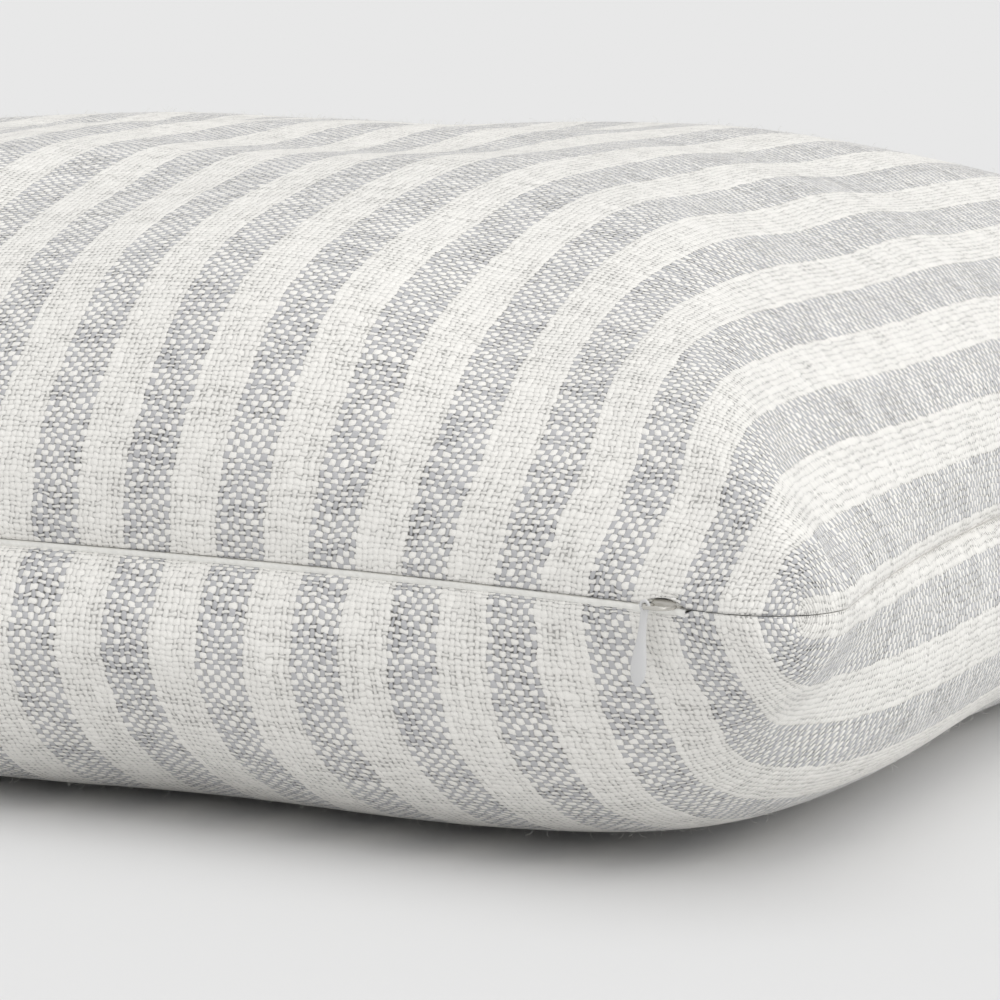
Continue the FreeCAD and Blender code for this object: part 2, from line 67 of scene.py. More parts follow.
# %% [markdown]
# The camera is low and close, with a long lens, so the pillow fills the view and runs out of it
# on both sides. A long lens keeps the stripes from fanning out. The camera's aim, distance and
# slight roll are plain numbers in millimetres and degrees.

# %% Camera
AZIMUTH, ELEVATION, ROLL = 24.86, 7.13, 0.2
AIM = Vector((182.9, -250.0, 88.8)) * MM
DISTANCE = 1043.0 * MM
camera_data = bpy.data.cameras.new("camera")
camera_data.sensor_width = 36.0
camera_data.lens = 167.4
camera_data.clip_end = 50.0
camera = bpy.data.objects.new("camera", camera_data)
bpy.context.scene.collection.objects.link(camera)
bpy.context.scene.camera = camera
turn, lift = math.radians(AZIMUTH), math.radians(ELEVATION)
look = Vector((-math.sin(turn) * math.cos(lift), math.cos(turn) * math.cos(lift),
               -math.sin(lift)))
right = Vector((math.cos(turn), math.sin(turn), 0.0))
up = right.cross(look)
roll = math.radians(ROLL)
tilted_right = right * math.cos(roll) + up * math.sin(roll)
tilted_up = up * math.cos(roll) - right * math.sin(roll)
camera.matrix_world = Matrix.Translation(AIM - look * DISTANCE) @ Matrix(
    (tilted_right, tilted_up, -look)).transposed().to_4x4()
print("camera at", [round(value, 3) for value in camera.matrix_world.translation])

# %% [markdown]
# A material tree is built from small nodes. One helper adds any node, sets its options and links
# its inputs, so a pattern can be written almost like a formula. A Math node is asked for by its
# operation. Colours are given as the hex values a designer would pick, and turned to linear
# light here.


# %% Colours and nodes
def colour(code):
    """Linear colour of an sRGB hex value such as "F2F1EC"."""
    shares = [int(code[start:start + 2], 16) / 255 for start in (0, 2, 4)]
    return [s / 12.92 if s <= 0.04045 else ((s + 0.055) / 1.055) ** 2.4 for s in shares] + [1.0]


def add(tree, kind, *inputs, named=None, **options):
    """Add a node, set its options, fill or link its inputs, and return its first output."""
    if kind.isupper():
        kind, options = "ShaderNodeMath", {"operation": kind, **options}
    node = tree.nodes.new(kind)
    for option, value in options.items():
        setattr(node, option, value)
    for socket, value in [*zip(node.inputs, inputs), *((node.inputs[n], v)
                          for n, v in (named or {}).items())]:
        if isinstance(value, bpy.types.NodeSocket):
            tree.links.new(value, socket)
        elif value is not None:
            socket.default_value = value
    return node.outputs[0] if node.outputs else node


NOISE, MIX = "ShaderNodeTexNoise", "ShaderNodeMix"
VECTOR, RANGE = "ShaderNodeVectorMath", "ShaderNodeMapRange"


def surface_material(name, **finish):
    """A material with one Principled shader, whose plain values are set on its own sockets."""
    material = bpy.data.materials.new(name)
    material.use_nodes = True
    shader = material.node_tree.nodes["Principled BSDF"]
    for socket, value in finish.items():
        shader.inputs[socket.replace("_", " ")].default_value = value
    return material, material.node_tree, shader


# %% [markdown]
# Most pieces start as a grid of points. These helpers link an object into the scene, make a
# smooth mesh, list the squares of a grid, lay flat addresses on a mesh as its UV map, and give a
# sheet its thickness.


# %% Mesh helpers
def linked(name, data):
    """A new object in the scene with the given data."""
    thing = bpy.data.objects.new(name, data)
    bpy.context.scene.collection.objects.link(thing)
    return thing


def smooth_mesh(name, points, faces, material):
    """A smooth mesh from points in millimetres, in one material."""
    mesh = bpy.data.meshes.new(name)
    mesh.from_pydata((np.asarray(points).reshape(-1, 3) * MM).tolist(), [], faces)
    mesh.shade_smooth()
    mesh.materials.append(material)
    return mesh


def grid_quads(number):
    """The squares of a grid of point numbers, in rows of four."""
    return np.stack([number[:-1, :-1], number[1:, :-1], number[1:, 1:], number[:-1, 1:]],
                    -1).reshape(-1, 4)


def lay_uv(mesh, flat, faces):
    """A UV map from one flat address for each point."""
    uv_map = mesh.uv_layers.new(name="OFBake")
    uv_map.data.foreach_set("uv", flat[faces.reshape(-1)].astype(np.float32).ravel())


def thicken(sheet, thickness, offset=-1):
    """A sheet's thickness in millimetres, behind its faces or, at offset 0, about them."""
    wall = sheet.modifiers.new("thickness", "SOLIDIFY")
    wall.thickness, wall.offset = thickness * MM, offset


print("mesh helpers ready, camera linked as", camera.name)

# %% [markdown]
# The cloth is a coarse plain weave of slub yarn: each thread swells and thins along its length.
# Eight pale grey warp ends alternate with eight warm white ones, and the weft is white all
# through, so a grey stripe is grey threads dotted with white. The weave is worked out from the
# cloth's flat address in millimetres: which warp and weft thread a point is on, how far it is
# from each thread's middle, and which of the two is on top.

# %% Cloth sizes, in millimetres
CLOTH_SPAN = 600.0      # side of the square that the UV map covers
STRIPE_REPEAT = 26.56
ENDS_PER_REPEAT = 16
WARP_PITCH = STRIPE_REPEAT / ENDS_PER_REPEAT
WEFT_PITCH = 1.44
GREY_START = 3.01 - STRIPE_REPEAT / 4       # first grey stripe's side, from the cover's middle
WHITE_YARN, GREY_YARN = "FAF8F3", "C6C6C8"
NEXT_THREAD, ALONG_THREAD = 7.31, 0.11      # steps through the noise that swells the yarn
THIN_TO_THICK = (0.36, 0.64)                # the noise values that give thin and thick yarn
WARP_HALF, WEFT_HALF = (0.30, 0.60), (0.27, 0.64)    # half widths, in shares of the pitch
CRIMP = 0.42                                # how far a thread rises and dips at crossings
WANDER = 2.6                                # span that threads wander over
RELIEF = 0.45                               # height of the weave
print("warp pitch %.2f mm, weft pitch %.2f mm" % (WARP_PITCH, WEFT_PITCH))


# %% Slub linen material
def thread(tree, across, along_index, seed):
    """Index of the thread at a place, how far off its middle, and its swelling along its run."""
    index = add(tree, "FLOOR", across)
    offset = add(tree, "SUBTRACT", add(tree, "SUBTRACT", across, index), 0.5)
    where = add(tree, "ShaderNodeCombineXYZ", add(tree, "MULTIPLY", index, NEXT_THREAD),
                add(tree, "MULTIPLY", along_index, ALONG_THREAD), seed)
    slub = add(tree, NOISE, where, named={"Scale": 1.0, "Detail": 2.0, "Roughness": 0.6})
    return index, offset, slub


def dome(tree, offset, half_width):
    """Height of a round thread, 1 at its middle and 0 at its sides."""
    ratio = add(tree, "DIVIDE", offset, half_width)
    rest = add(tree, "SUBTRACT", 1.0, add(tree, "MULTIPLY", ratio, ratio), use_clamp=True)
    return add(tree, "POWER", rest, 0.5)


def crossing(tree, parity, offset, sign):
    """How high a thread stands between two crossings: over one thread, under the next."""
    swing = add(tree, "COSINE", add(tree, "MULTIPLY", offset, math.pi))
    return add(tree, "MULTIPLY_ADD", add(tree, "MULTIPLY", swing, parity), sign * CRIMP,
               1 - CRIMP)


def slub_linen(name, stripe_shift):
    """The striped cover cloth, cut with its stripes shifted by so many millimetres."""
    # Matt spun yarn: rough, with a little sheen from its loose fibre ends.
    material, tree, shader = surface_material(
        name, Roughness=0.9, Specular_IOR_Level=0.22, Sheen_Weight=0.18, Sheen_Roughness=0.5)
    address = add(tree, "ShaderNodeUVMap", uv_map="OFBake")
    place = add(tree, VECTOR, address, (CLOTH_SPAN,) * 3,
                (stripe_shift - CLOTH_SPAN / 2, -CLOTH_SPAN / 2, 0), operation="MULTIPLY_ADD")
    # Hand-like unevenness: threads wander by a few tenths of a millimetre.
    wander = add(tree, NOISE, place, named={
        "Scale": 0.17, "Detail": 3.0, "Roughness": 0.6}).node.outputs["Color"]
    shift = add(tree, VECTOR, wander, (WANDER, WANDER, 0),
                (-WANDER / 2, -WANDER / 2, 0), operation="MULTIPLY_ADD")
    woven = add(tree, VECTOR, place, shift, operation="ADD")
    split = add(tree, "ShaderNodeSeparateXYZ", woven).node
    across = add(tree, "MULTIPLY", add(tree, "SUBTRACT", split.outputs["X"], GREY_START),
                 1 / WARP_PITCH)
    along = add(tree, "MULTIPLY", split.outputs["Y"], 1 / WEFT_PITCH)
    warp, warp_offset, warp_slub = thread(tree, across, along, 0.0)
    weft, weft_offset, weft_slub = thread(tree, along, across, 40.0)
    odd = add(tree, "FLOORED_MODULO", add(tree, "ADD", warp, weft), 2.0)
    parity = add(tree, "SUBTRACT", add(tree, "MULTIPLY", odd, 2.0), 1.0)
    warp_half = add(tree, RANGE, warp_slub, *THIN_TO_THICK, *WARP_HALF)
    weft_half = add(tree, RANGE, weft_slub, *THIN_TO_THICK, *WEFT_HALF)
    warp_height = add(tree, "MULTIPLY", dome(tree, warp_offset, warp_half),
                      crossing(tree, parity, weft_offset, 1))
    weft_height = add(tree, "MULTIPLY", dome(tree, weft_offset, weft_half),
                      crossing(tree, parity, warp_offset, -1))
    height = add(tree, "MAXIMUM", warp_height, weft_height)
    warp_on_top = add(tree, "GREATER_THAN", add(tree, "SUBTRACT", warp_height, weft_height), 0.0)
    in_repeat = add(tree, "FLOORED_MODULO", warp, float(ENDS_PER_REPEAT))
    grey = add(tree, "LESS_THAN", in_repeat, ENDS_PER_REPEAT / 2)
    yarn = add(tree, MIX, add(tree, "MULTIPLY", grey, warp_on_top), data_type="RGBA").node
    yarn.inputs[6].default_value = colour(WHITE_YARN)      # 6, 7 and output 2 are its colours
    yarn.inputs[7].default_value = colour(GREY_YARN)
    # Spun yarn is never one shade: each thread is a little lighter or darker along its run.
    either = add(tree, MIX, warp_on_top, None, weft_slub, warp_slub)
    tint = add(tree, RANGE, either, 0.3, 0.7, 0.94, 1.03)
    fleck = add(tree, NOISE, place, named={"Scale": 3.2, "Detail": 2.0})
    flecked = add(tree, RANGE, fleck, 0.3, 0.7, 0.95, 1.04)
    # Painted shade: the colour darkens towards each thread's sides and into the gaps between
    # threads, darker still where the warp is grey.
    depth = add(tree, RANGE, height, 0.04, 0.56, 0.0, 1.0)
    gap_painted_shade = add(tree, "MULTIPLY_ADD", grey, -0.32, 0.46)
    shade = add(tree, MIX, depth, None, gap_painted_shade, 1.0)
    # The yarn's own tone, times the painted shade between the threads.
    tone_and_painted_shade = add(tree, "MULTIPLY", add(tree, "MULTIPLY", tint, flecked), shade)
    painted = add(tree, VECTOR, yarn.outputs[2], operation="SCALE",
                  named={"Scale": tone_and_painted_shade})
    tree.links.new(painted, shader.inputs["Base Color"])
    fuzz = add(tree, "MULTIPLY_ADD", fleck, 0.22, height)
    bump = add(tree, "ShaderNodeBump", named={"Strength": 0.9, "Distance": RELIEF * MM,
                                              "Height": fuzz})
    tree.links.new(bump, shader.inputs["Normal"])
    return material


STRIPE_MISMATCH = 1.2   # the back panel was cut this much off the front panel's stripes
front_cloth = slub_linen("slub linen, front", 0.0)
back_cloth = slub_linen("slub linen, back", STRIPE_MISMATCH)
print("cloth materials:", front_cloth.name, "/", back_cloth.name)

# %% [markdown]
# The cover is cut flat as two squares and then stuffed, so each point of the cloth has two
# addresses: where it was on the flat square, and where it is now. The seam's plan comes from the
# frame's box: four drawn-in edges, which are circular arcs, and four round corners.

# %% Sizes of the cover, in millimetres
CUT_HALF = 279.4            # half of a 22 inch square
REACH = CAD_BOX[1][0] / MM  # middle to corner tip
ZIP_PULL = 38.0             # how far the zip edge and the rear edge are drawn in
SIDE_PULL = 24.0            # the same for the left and right edges
NOSE = 20.0                 # corner radius in plan
PROFILE_STEPS = 600         # points along a panel's profile
SEAM_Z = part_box("cover_front_panel")[0][2] / MM
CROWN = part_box("cover_front_panel")[1][2] / MM - SEAM_Z
ZIP_HALF = 238.0            # middle of the zip to its end, along the seam
print("corner reach %.1f, seam at %.1f, crown %.1f above it" % (REACH, SEAM_Z, CROWN))


# %% Points along an edge of the seam
def edge_arc(pull):
    """Radius, half angle and middle distance of an edge arc that meets its corners smoothly."""
    corner = REACH - NOSE
    radius = corner * corner / (2 * pull) - NOSE + pull / 2
    return radius, math.asin(corner / (radius + NOSE)), REACH - pull


def edge_length(pull):
    """Length of the seam from the middle of an edge to the tip of its corner."""
    radius, half_angle, _ = edge_arc(pull)
    return radius * half_angle + NOSE * (math.pi / 4 + half_angle)


def front_edge(share, pull):
    """Plan points of the edge that faces -Y, for shares of its half length from -1 to 1."""
    radius, half_angle, middle = edge_arc(pull)
    corner = REACH - NOSE
    along = np.abs(share) * edge_length(pull)
    swing = np.minimum(along, radius * half_angle) / radius
    turned = np.clip((along - radius * half_angle) / NOSE, 0, None) - math.pi / 2 - half_angle
    on_nose = along > radius * half_angle
    x = np.where(on_nose, corner + NOSE * np.cos(turned), radius * np.sin(swing))
    y = np.where(on_nose, -corner + NOSE * np.sin(turned),
                 radius * np.cos(swing) - middle - radius)
    return np.sign(share) * x, y


print("a quarter of the zip edge is %.1f mm, against %.1f cut flat" % (
    edge_length(ZIP_PULL), CUT_HALF))

# %% [markdown]
# A stuffed panel's profile is a superellipse: full and upright at the seam, level at the crown.
# It is walked by arc length, because cloth bends but hardly stretches. Near the seam the cloth
# keeps the seam's own spacing, and the spare length gathers in the last centimetres before each
# corner. The plan is a Coons patch, which fills the space between four edge curves.


# %% Shape of a stuffed panel
def profile(share, plan_power, rise_power, rise, reach):
    """Outward and upward shares of a superellipse quarter, walked by arc length."""
    angle = np.linspace(0, math.pi / 2, PROFILE_STEPS)
    outward = np.sin(angle) ** (2 / plan_power)
    upward = np.cos(angle) ** (2 / rise_power)
    steps = np.hypot(np.diff(outward) * reach, np.diff(upward) * rise)
    walked = np.concatenate([[0], np.cumsum(steps)]) / steps.sum()
    size = np.abs(share)
    return np.sign(share) * np.interp(size, walked, outward), np.interp(size, walked, upward)


GATHER_POWER = 12.0     # how close to the corner the spare cloth gathers
SEAM_HOLD = 5.6         # how far up the panel the seam's spacing reaches
CORNER_FULLNESS = 2.6   # blends the two profiles: higher is fuller at the corners
BELLY, BELLY_REACH = 22.0, 222.0    # the underside bulges past the seam in mid-edge
BELLY_RISE, BELLY_POWER = 0.4, 6    # where it reaches its full width, and how near the edge
SWELL = 3.4             # blowing the bag up lifts the crown by this much, so it starts lower
TOP = {"plan_power": 3.29, "rise_power": 2.53, "rise": CROWN - SWELL}
BASE = {"plan_power": 7.77, "rise_power": 3.69, "rise": SEAM_Z}


def seam_share(share, pull):
    """Share of the seam's length that a share of the flat edge is sewn to."""
    ratio = edge_length(pull) / CUT_HALF
    return share * (1 - (1 - ratio) * np.abs(share) ** GATHER_POWER) / ratio


def panel_points(u, v, shape, side):
    """Stuffed places of the flat cloth points u, v: side is 1 above the seam and -1 below."""
    share_u, share_v = u / CUT_HALF, v / CUT_HALF
    out_u, up_u = profile(share_u, reach=REACH - SIDE_PULL, **shape)
    out_v, up_v = profile(share_v, reach=REACH - ZIP_PULL, **shape)
    held_v, held_u = up_v ** SEAM_HOLD, up_u ** SEAM_HOLD
    along_x = seam_share(share_u, ZIP_PULL) * (1 - held_v) + out_u * held_v
    along_y = seam_share(share_v, SIDE_PULL) * (1 - held_u) + out_v * held_u
    front_x, front_y = front_edge(along_x, ZIP_PULL)
    side_y, side_x = front_edge(along_y, SIDE_PULL)
    tip = REACH - NOSE + NOSE * math.sqrt(0.5)
    x = front_x - along_x * side_x - along_x * tip
    y = side_y - along_y * front_y - along_y * tip
    low = 1e-6
    risen = (np.maximum(up_u, low) ** -CORNER_FULLNESS + np.maximum(up_v, low)
             ** -CORNER_FULLNESS - 1) ** (-1 / CORNER_FULLNESS)
    risen = np.where(np.minimum(up_u, up_v) <= low, 0, risen)
    if side < 0:
        weight = np.clip(risen / BELLY_RISE, 0, 1)
        weight = BELLY * weight * weight * (3 - 2 * weight)
        y = y + weight * np.sign(v) * np.abs(share_v) ** BELLY_POWER * np.clip(
            1 - (u / BELLY_REACH) ** 2, 0, 1)
        x = x + 0.5 * weight * np.sign(u) * np.abs(share_u) ** BELLY_POWER * np.clip(
            1 - (v / BELLY_REACH) ** 2, 0, 1)
    return np.stack([x, y, SEAM_Z + side * shape["rise"] * risen], axis=-1)


# %% [markdown]
# Stuffing is lumpy, and thread pulls the cloth into small puckers. Both are sums of a few smooth
# waves with seeded directions, so they are the same on every run: slow ones over the whole
# panel, and short ones that die away within a few centimetres of the seam.

# %% Lumps and puckers
LUMP_DEPTH, LUMP_LENGTHS, LUMP_SEED = 1.5, (70, 190), 11
PUCKER_DEPTH, PUCKER_LENGTHS, PUCKER_SEED, PUCKER_REACH = 0.35, (9, 22), 21, 14.0
GRID_STEPS = 208        # cloth mesh squares along each side
EDGE_DENSITY = 0.34     # squares shrink towards the seam, where the shape turns fastest


def waves(u, v, seed, shortest, longest, count=26):
    """A smooth random field of about unit size, from waves of the given lengths."""
    rng = np.random.default_rng(seed)
    total = np.zeros_like(u)
    for _ in range(count):
        length, heading, phase = (rng.uniform(shortest, longest), rng.uniform(0, 2 * math.pi),
                                  rng.uniform(0, 2 * math.pi))
        total += np.cos((u * math.cos(heading) + v * math.sin(heading)) * 2 * math.pi / length
                        + phase)
    return total / math.sqrt(count / 2)


def flat_grid(steps):
    """Flat cloth addresses of a grid whose squares are smaller near the seam."""
    t = np.linspace(-1, 1, steps + 1)
    line = CUT_HALF * t * (1 + EDGE_DENSITY - EDGE_DENSITY * t * t)
    return np.meshgrid(line, line, indexing="ij")


def grid_normals(points, side):
    """Unit normals of a grid of points, outward for its side."""
    normal = np.cross(np.gradient(points, axis=0), np.gradient(points, axis=1))
    normal /= np.maximum(np.linalg.norm(normal, axis=-1, keepdims=True), 1e-9)
    return normal * side


def seam_distance(u, v):
    """How far flat cloth points are from the nearest side of their square."""
    return np.minimum(CUT_HALF - np.abs(u), CUT_HALF - np.abs(v))


def stuffed(steps, shape, side):
    """Grid of a stuffed panel with its lumps and puckers."""
    u, v = flat_grid(steps)
    points = panel_points(u, v, shape, side)
    from_seam = seam_distance(u, v)
    lumps = LUMP_DEPTH * waves(u, v, LUMP_SEED + side, *LUMP_LENGTHS) * np.clip(
        from_seam / 60 - 0.2, 0, 1)
    puckers = PUCKER_DEPTH * waves(u, v, PUCKER_SEED + side, *PUCKER_LENGTHS) * np.exp(
        -from_seam / PUCKER_REACH) * np.clip(from_seam / 3, 0, 1)
    clear = np.clip(points[..., 2] / 12, 0, 1)      # the underside stays flat on the floor
    return points + grid_normals(points, side) * ((lumps + puckers) * clear)[..., None]


print("cloth mesh squares: %d on each panel" % GRID_STEPS ** 2)

# %% [markdown]
# The fill pushes the cloth out, and only a simulation shows where it gives. The two panels are
# joined at their seam into one coarse closed bag, the seam and the underside are pinned, and
# Blender's Cloth blows it up with a little pressure for twenty frames. The shift of each point
# is capped, and laid on the fine mesh.

# %% Blow up a coarse bag
BAG_STEPS, BAG_FRAMES, PRESSURE = 52, 20, 4.0
SMOOTH_ROUNDS = 6


def bag_shift():
    """Capped shifts in millimetres of the front and back panels' coarse grids."""
    top, base = stuffed(BAG_STEPS, TOP, 1), stuffed(BAG_STEPS, BASE, -1)
    side = BAG_STEPS + 1
    number = np.arange(side * side).reshape(side, side)
    inner = np.zeros((side, side), bool)
    inner[1:-1, 1:-1] = True
    under = number.copy()
    under[inner] = side * side + np.arange(inner.sum())
    start = np.concatenate([top.reshape(-1, 3), base[inner]]) * MM
    faces = []
    for sheet_number, flip in ((number, False), (under, True)):
        quads = grid_quads(sheet_number)
        faces += (quads[:, ::-1] if flip else quads).tolist()
    mesh = bpy.data.meshes.new("bag")
    mesh.from_pydata(start.tolist(), [], faces)
    bag = linked("bag", mesh)
    held = bag.vertex_groups.new(name="held")
    pinned = set(number[~inner].tolist()) | set(np.flatnonzero(start[:, 2] < 2 * MM).tolist())
    held.add(sorted(pinned), 1.0, "REPLACE")
    cloth = bag.modifiers.new("cloth", "CLOTH")
    cloth.settings.quality = 5
    cloth.settings.mass = 0.3
    cloth.settings.tension_stiffness = cloth.settings.compression_stiffness = 20
    cloth.settings.shear_stiffness = 8
    cloth.settings.bending_stiffness = 1.0
    cloth.settings.use_pressure = True
    cloth.settings.uniform_pressure_force = PRESSURE
    cloth.settings.vertex_group_mass = "held"
    cloth.settings.effector_weights.gravity = 0
    cloth.point_cache.frame_start, cloth.point_cache.frame_end = 1, BAG_FRAMES
    for moment in range(1, BAG_FRAMES + 1):
        bpy.context.scene.frame_set(moment)
    blown = bag.evaluated_get(bpy.context.evaluated_depsgraph_get()).to_mesh()
    ended = np.array([vertex.co for vertex in blown.vertices])
    bpy.context.scene.frame_set(1)
    bpy.data.objects.remove(bag)
    shift = (ended - start) / MM
    length = np.linalg.norm(shift, axis=1, keepdims=True)
    print("bag: %d points, largest shift %.1f mm, middle one %.1f mm" % (
        len(start), length.max(), np.median(length)))
    shift *= np.minimum(1, SWELL / np.maximum(length, 1e-6))
    return shift[number], shift[under]


def finer(grid, steps):
    """A coarse grid of shifts laid smoothly on a finer grid, as one subdivision after another."""
    where = np.linspace(0, len(grid) - 1, steps + 1)
    low = np.minimum(where.astype(int), len(grid) - 2)
    share = where - low
    share = share * share * (3 - 2 * share) * 0.35 + share * 0.65
    rows = grid[low] * (1 - share)[:, None, None] + grid[low + 1] * share[:, None, None]
    fine = (rows[:, low] * (1 - share)[None, :, None]
            + rows[:, low + 1] * share[None, :, None])
    for _ in range(SMOOTH_ROUNDS):
        fine[1:-1] = (fine[:-2] + 2 * fine[1:-1] + fine[2:]) / 4
        fine[:, 1:-1] = (fine[:, :-2] + 2 * fine[:, 1:-1] + fine[:, 2:]) / 4
    return fine


shifts = (0.0, 0.0)
shifts = [finer(shift, GRID_STEPS) for shift in bag_shift()]
print("largest shift kept: %.1f mm" % max(np.abs(shift).max() for shift in shifts))

# %% [markdown]
# Each panel's edge turns in at the seam and runs on inside as its seam allowance. Along the zip
# the two folds stand a little apart, so that the pale tape shows in the gap. Past the zip's ends
# they meet in a shallow valley. The turn is a few extra rings round the grid's rim, and the
# finished sheet then gets the cloth's real thickness on its inside.

# %% Build the two cover panels
CLOTH_THICKNESS = 1.2
VALLEY_DEPTH, VALLEY_REACH = 1.5, 5.0
SLIDER_REST = 230.2             # middle of the slider, along the zip
MOUTH_HALF, MOUTH_OPEN, MOUTH_MIDDLE = 5.8, 1.75, 230.6   # it holds the folds apart here
FOLD_RINGS = ((0.7, 0.05), (2.2, 0.9), (5.0, 1.7), (9.0, 2.2))   # inward and away from the seam
ZIP_LIP = {1: 0.08, -1: 1.55}    # how far each fold stands off the seam's height at the zip
SEAM_LIP = 0.03                  # and everywhere else
LIP_REACH, ZIP_BAND = 6.0, 8.0   # how far up the panel the lip and the zip's own shape reach
FLOOR_GAP = 0.05                 # the lowest cloth stays just off the floor


def rim_loop(steps):
    """Grid indices round the rim, anticlockwise, starting at the front left corner."""
    last = steps
    run = np.arange(steps)
    rows = np.concatenate([run, np.full(steps, last), last - run, np.zeros(steps, int)])
    columns = np.concatenate([np.zeros(steps, int), run, np.full(steps, last), last - run])
    return rows, columns


def near_zip_edge(v):
    """1 on the edge that holds the zip, falling to 0 a little way up the panel."""
    return np.clip(1 - (v + CUT_HALF) / ZIP_BAND, 0, 1)


def from_zip_middle(u):
    """Length of seam between the zip's middle and flat cloth points on its edge."""
    return np.abs(seam_share(u / CUT_HALF, ZIP_PULL)) * edge_length(ZIP_PULL)


def at_zip(u, v):
    """1 along the zip's opening and 0 elsewhere, smooth at its ends."""
    open_share = np.clip((ZIP_HALF + 1.5 - from_zip_middle(u)) / 5, 0, 1)
    return open_share * open_share * (3 - 2 * open_share) * near_zip_edge(v)


def valley_share(u, v):
    """How deep the seam's valley is: full on the plain seams, shallow at the zip and corners."""
    corner = np.clip((np.minimum(np.abs(u), np.abs(v)) - CUT_HALF + 34) / 26, 0, 1)
    return np.clip(1 - 0.62 * near_zip_edge(v) - 0.62 * corner, 0.3, 1)


def mouth(u, v):
    """How far the folds stand apart where the slider parks, at either end of the zip."""
    off_middle = (from_zip_middle(u) - MOUTH_MIDDLE) / MOUTH_HALF
    return near_zip_edge(v) * np.clip(1 - off_middle ** 2, 0, 1) ** 0.8


def rim_inward(loop):
    """Level unit vectors that point into the pillow from the rim."""
    run = np.roll(loop, -1, axis=0) - np.roll(loop, 1, axis=0)
    inward = np.stack([-run[:, 1], run[:, 0], np.zeros(len(run))], -1)
    return inward / np.linalg.norm(inward, axis=1, keepdims=True)


def cover_panel(name, shape, side, shift, material, node):
    """One cover panel as a mesh with its fold, its UV map and its thickness."""
    u, v = flat_grid(GRID_STEPS)
    points = stuffed(GRID_STEPS, shape, side) + shift
    rows, columns = rim_loop(GRID_STEPS)
    rim = panel_points(u, v, shape, side)[rows, columns]
    inward = rim_inward(rim)
    # The valley: cloth near the seam is drawn in and held at the fold's height.
    from_seam = seam_distance(u, v)
    draw = VALLEY_DEPTH * np.clip(1 - from_seam / VALLEY_REACH, 0, 1) ** 2
    lip = SEAM_LIP + (ZIP_LIP[side] - SEAM_LIP) * at_zip(u, v)
    lip = np.maximum(lip, MOUTH_OPEN * mouth(u, v) + 0.1)
    draw *= valley_share(u, v)
    near_x, near_y = np.abs(u / CUT_HALF) ** 40, np.abs(v / CUT_HALF) ** 40
    pull = np.stack([-np.sign(u) * near_x, -np.sign(v) * near_y, np.zeros_like(u)], -1)
    pull /= np.maximum(np.linalg.norm(pull, axis=-1, keepdims=True), 1e-9)
    points = points + pull * draw[..., None]
    points[..., 2] += side * lip * np.clip(1 - from_seam / LIP_REACH, 0, 1) ** 2
    points[..., 2] = np.maximum(points[..., 2], FLOOR_GAP)
    steps = GRID_STEPS + 1
    number = np.arange(steps * steps).reshape(steps, steps)
    vertices, addresses = [points.reshape(-1, 3)], [np.stack([u, v], -1).reshape(-1, 2)]
    ring, faces = number[rows, columns], [grid_quads(number)]
    rim_address = np.stack([u, v], -1)[rows, columns]
    outward = np.where(np.abs(rim_address) > CUT_HALF - 0.01, np.sign(rim_address), 0)
    base = points[rows, columns]
    for count, (deep, away) in enumerate(FOLD_RINGS):
        following = steps * steps + count * len(rows) + np.arange(len(rows))
        vertices.append(base + inward * deep + np.array([0, 0, side * away]))
        addresses.append(rim_address + outward * deep)
        faces.append(np.stack([ring, following, np.roll(following, -1), np.roll(ring, -1)], -1))
        ring = following
    faces = np.concatenate(faces)
    if side < 0:
        faces = faces[:, ::-1]
    mesh = smooth_mesh(name, np.concatenate(vertices), faces.tolist(), material)
    lay_uv(mesh, np.concatenate(addresses) / CLOTH_SPAN + 0.5, faces)
    panel = linked(name, mesh)
    thicken(panel, CLOTH_THICKNESS)
    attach(panel, "cover")
    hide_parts(node)
    print("%s: %d faces before its thickness" % (name, len(faces)))
    return panel


front_panel = cover_panel("front_panel", TOP, 1, shifts[0], front_cloth, "cover_front_panel")
back_panel = cover_panel("back_panel", BASE, -1, shifts[1], back_cloth, "cover_back_panel")

# %% [markdown]
# Small parts that repeat, such as stitches and coil turns, are made by Geometry Nodes: a path is
# cut into even steps, one small shape is placed at each, and the copies are made real. The tree is
# built once, its sizes are named inputs, and its result is kept as a plain mesh.

# %% Trees that repeat a shape along a path
def node_tree(name, **sizes):
    """A Geometry Nodes tree with a geometry input and named number inputs."""
    tree = bpy.data.node_groups.new(name, "GeometryNodeTree")
    tree.interface.new_socket("Geometry", in_out="INPUT", socket_type="NodeSocketGeometry")
    for size, value in sizes.items():
        tree.interface.new_socket(size, in_out="INPUT",
                                  socket_type="NodeSocketFloat").default_value = value
    tree.interface.new_socket("Geometry", in_out="OUTPUT", socket_type="NodeSocketGeometry")
    return tree, tree.nodes.new("NodeGroupInput").outputs


def close_tree(tree, instances, material):
    """Make the copies real, smooth and finished in a material, and end the tree."""
    real = add(tree, "GeometryNodeRealizeInstances", instances)
    smooth = add(tree, "GeometryNodeSetShadeSmooth", real)
    painted = add(tree, "GeometryNodeSetMaterial", smooth, named={"Material": material})
    tree.links.new(painted, tree.nodes.new("NodeGroupOutput").inputs[0])
    return tree


def grow(name, source, tree, body, nodes, slot, **sizes):
    """Run a tree on a source object, keep its result as a mesh on a body, drop the source."""
    bpy.context.scene.collection.objects.link(source)
    modifier = source.modifiers.new("grow", "NODES")
    modifier.node_group = tree
    for item in tree.interface.items_tree:
        if item.in_out == "INPUT" and item.name in sizes:
            modifier[item.identifier] = sizes[item.name]
    graph = bpy.context.evaluated_depsgraph_get()
    mesh = bpy.data.meshes.new_from_object(source.evaluated_get(graph), depsgraph=graph)
    mesh.name = name
    bpy.data.objects.remove(source)
    grown = linked(name, mesh)
    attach(grown, body)
    if nodes:
        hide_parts(*nodes)
    print("%s: %d faces" % (name, len(mesh.polygons)))
    return grown


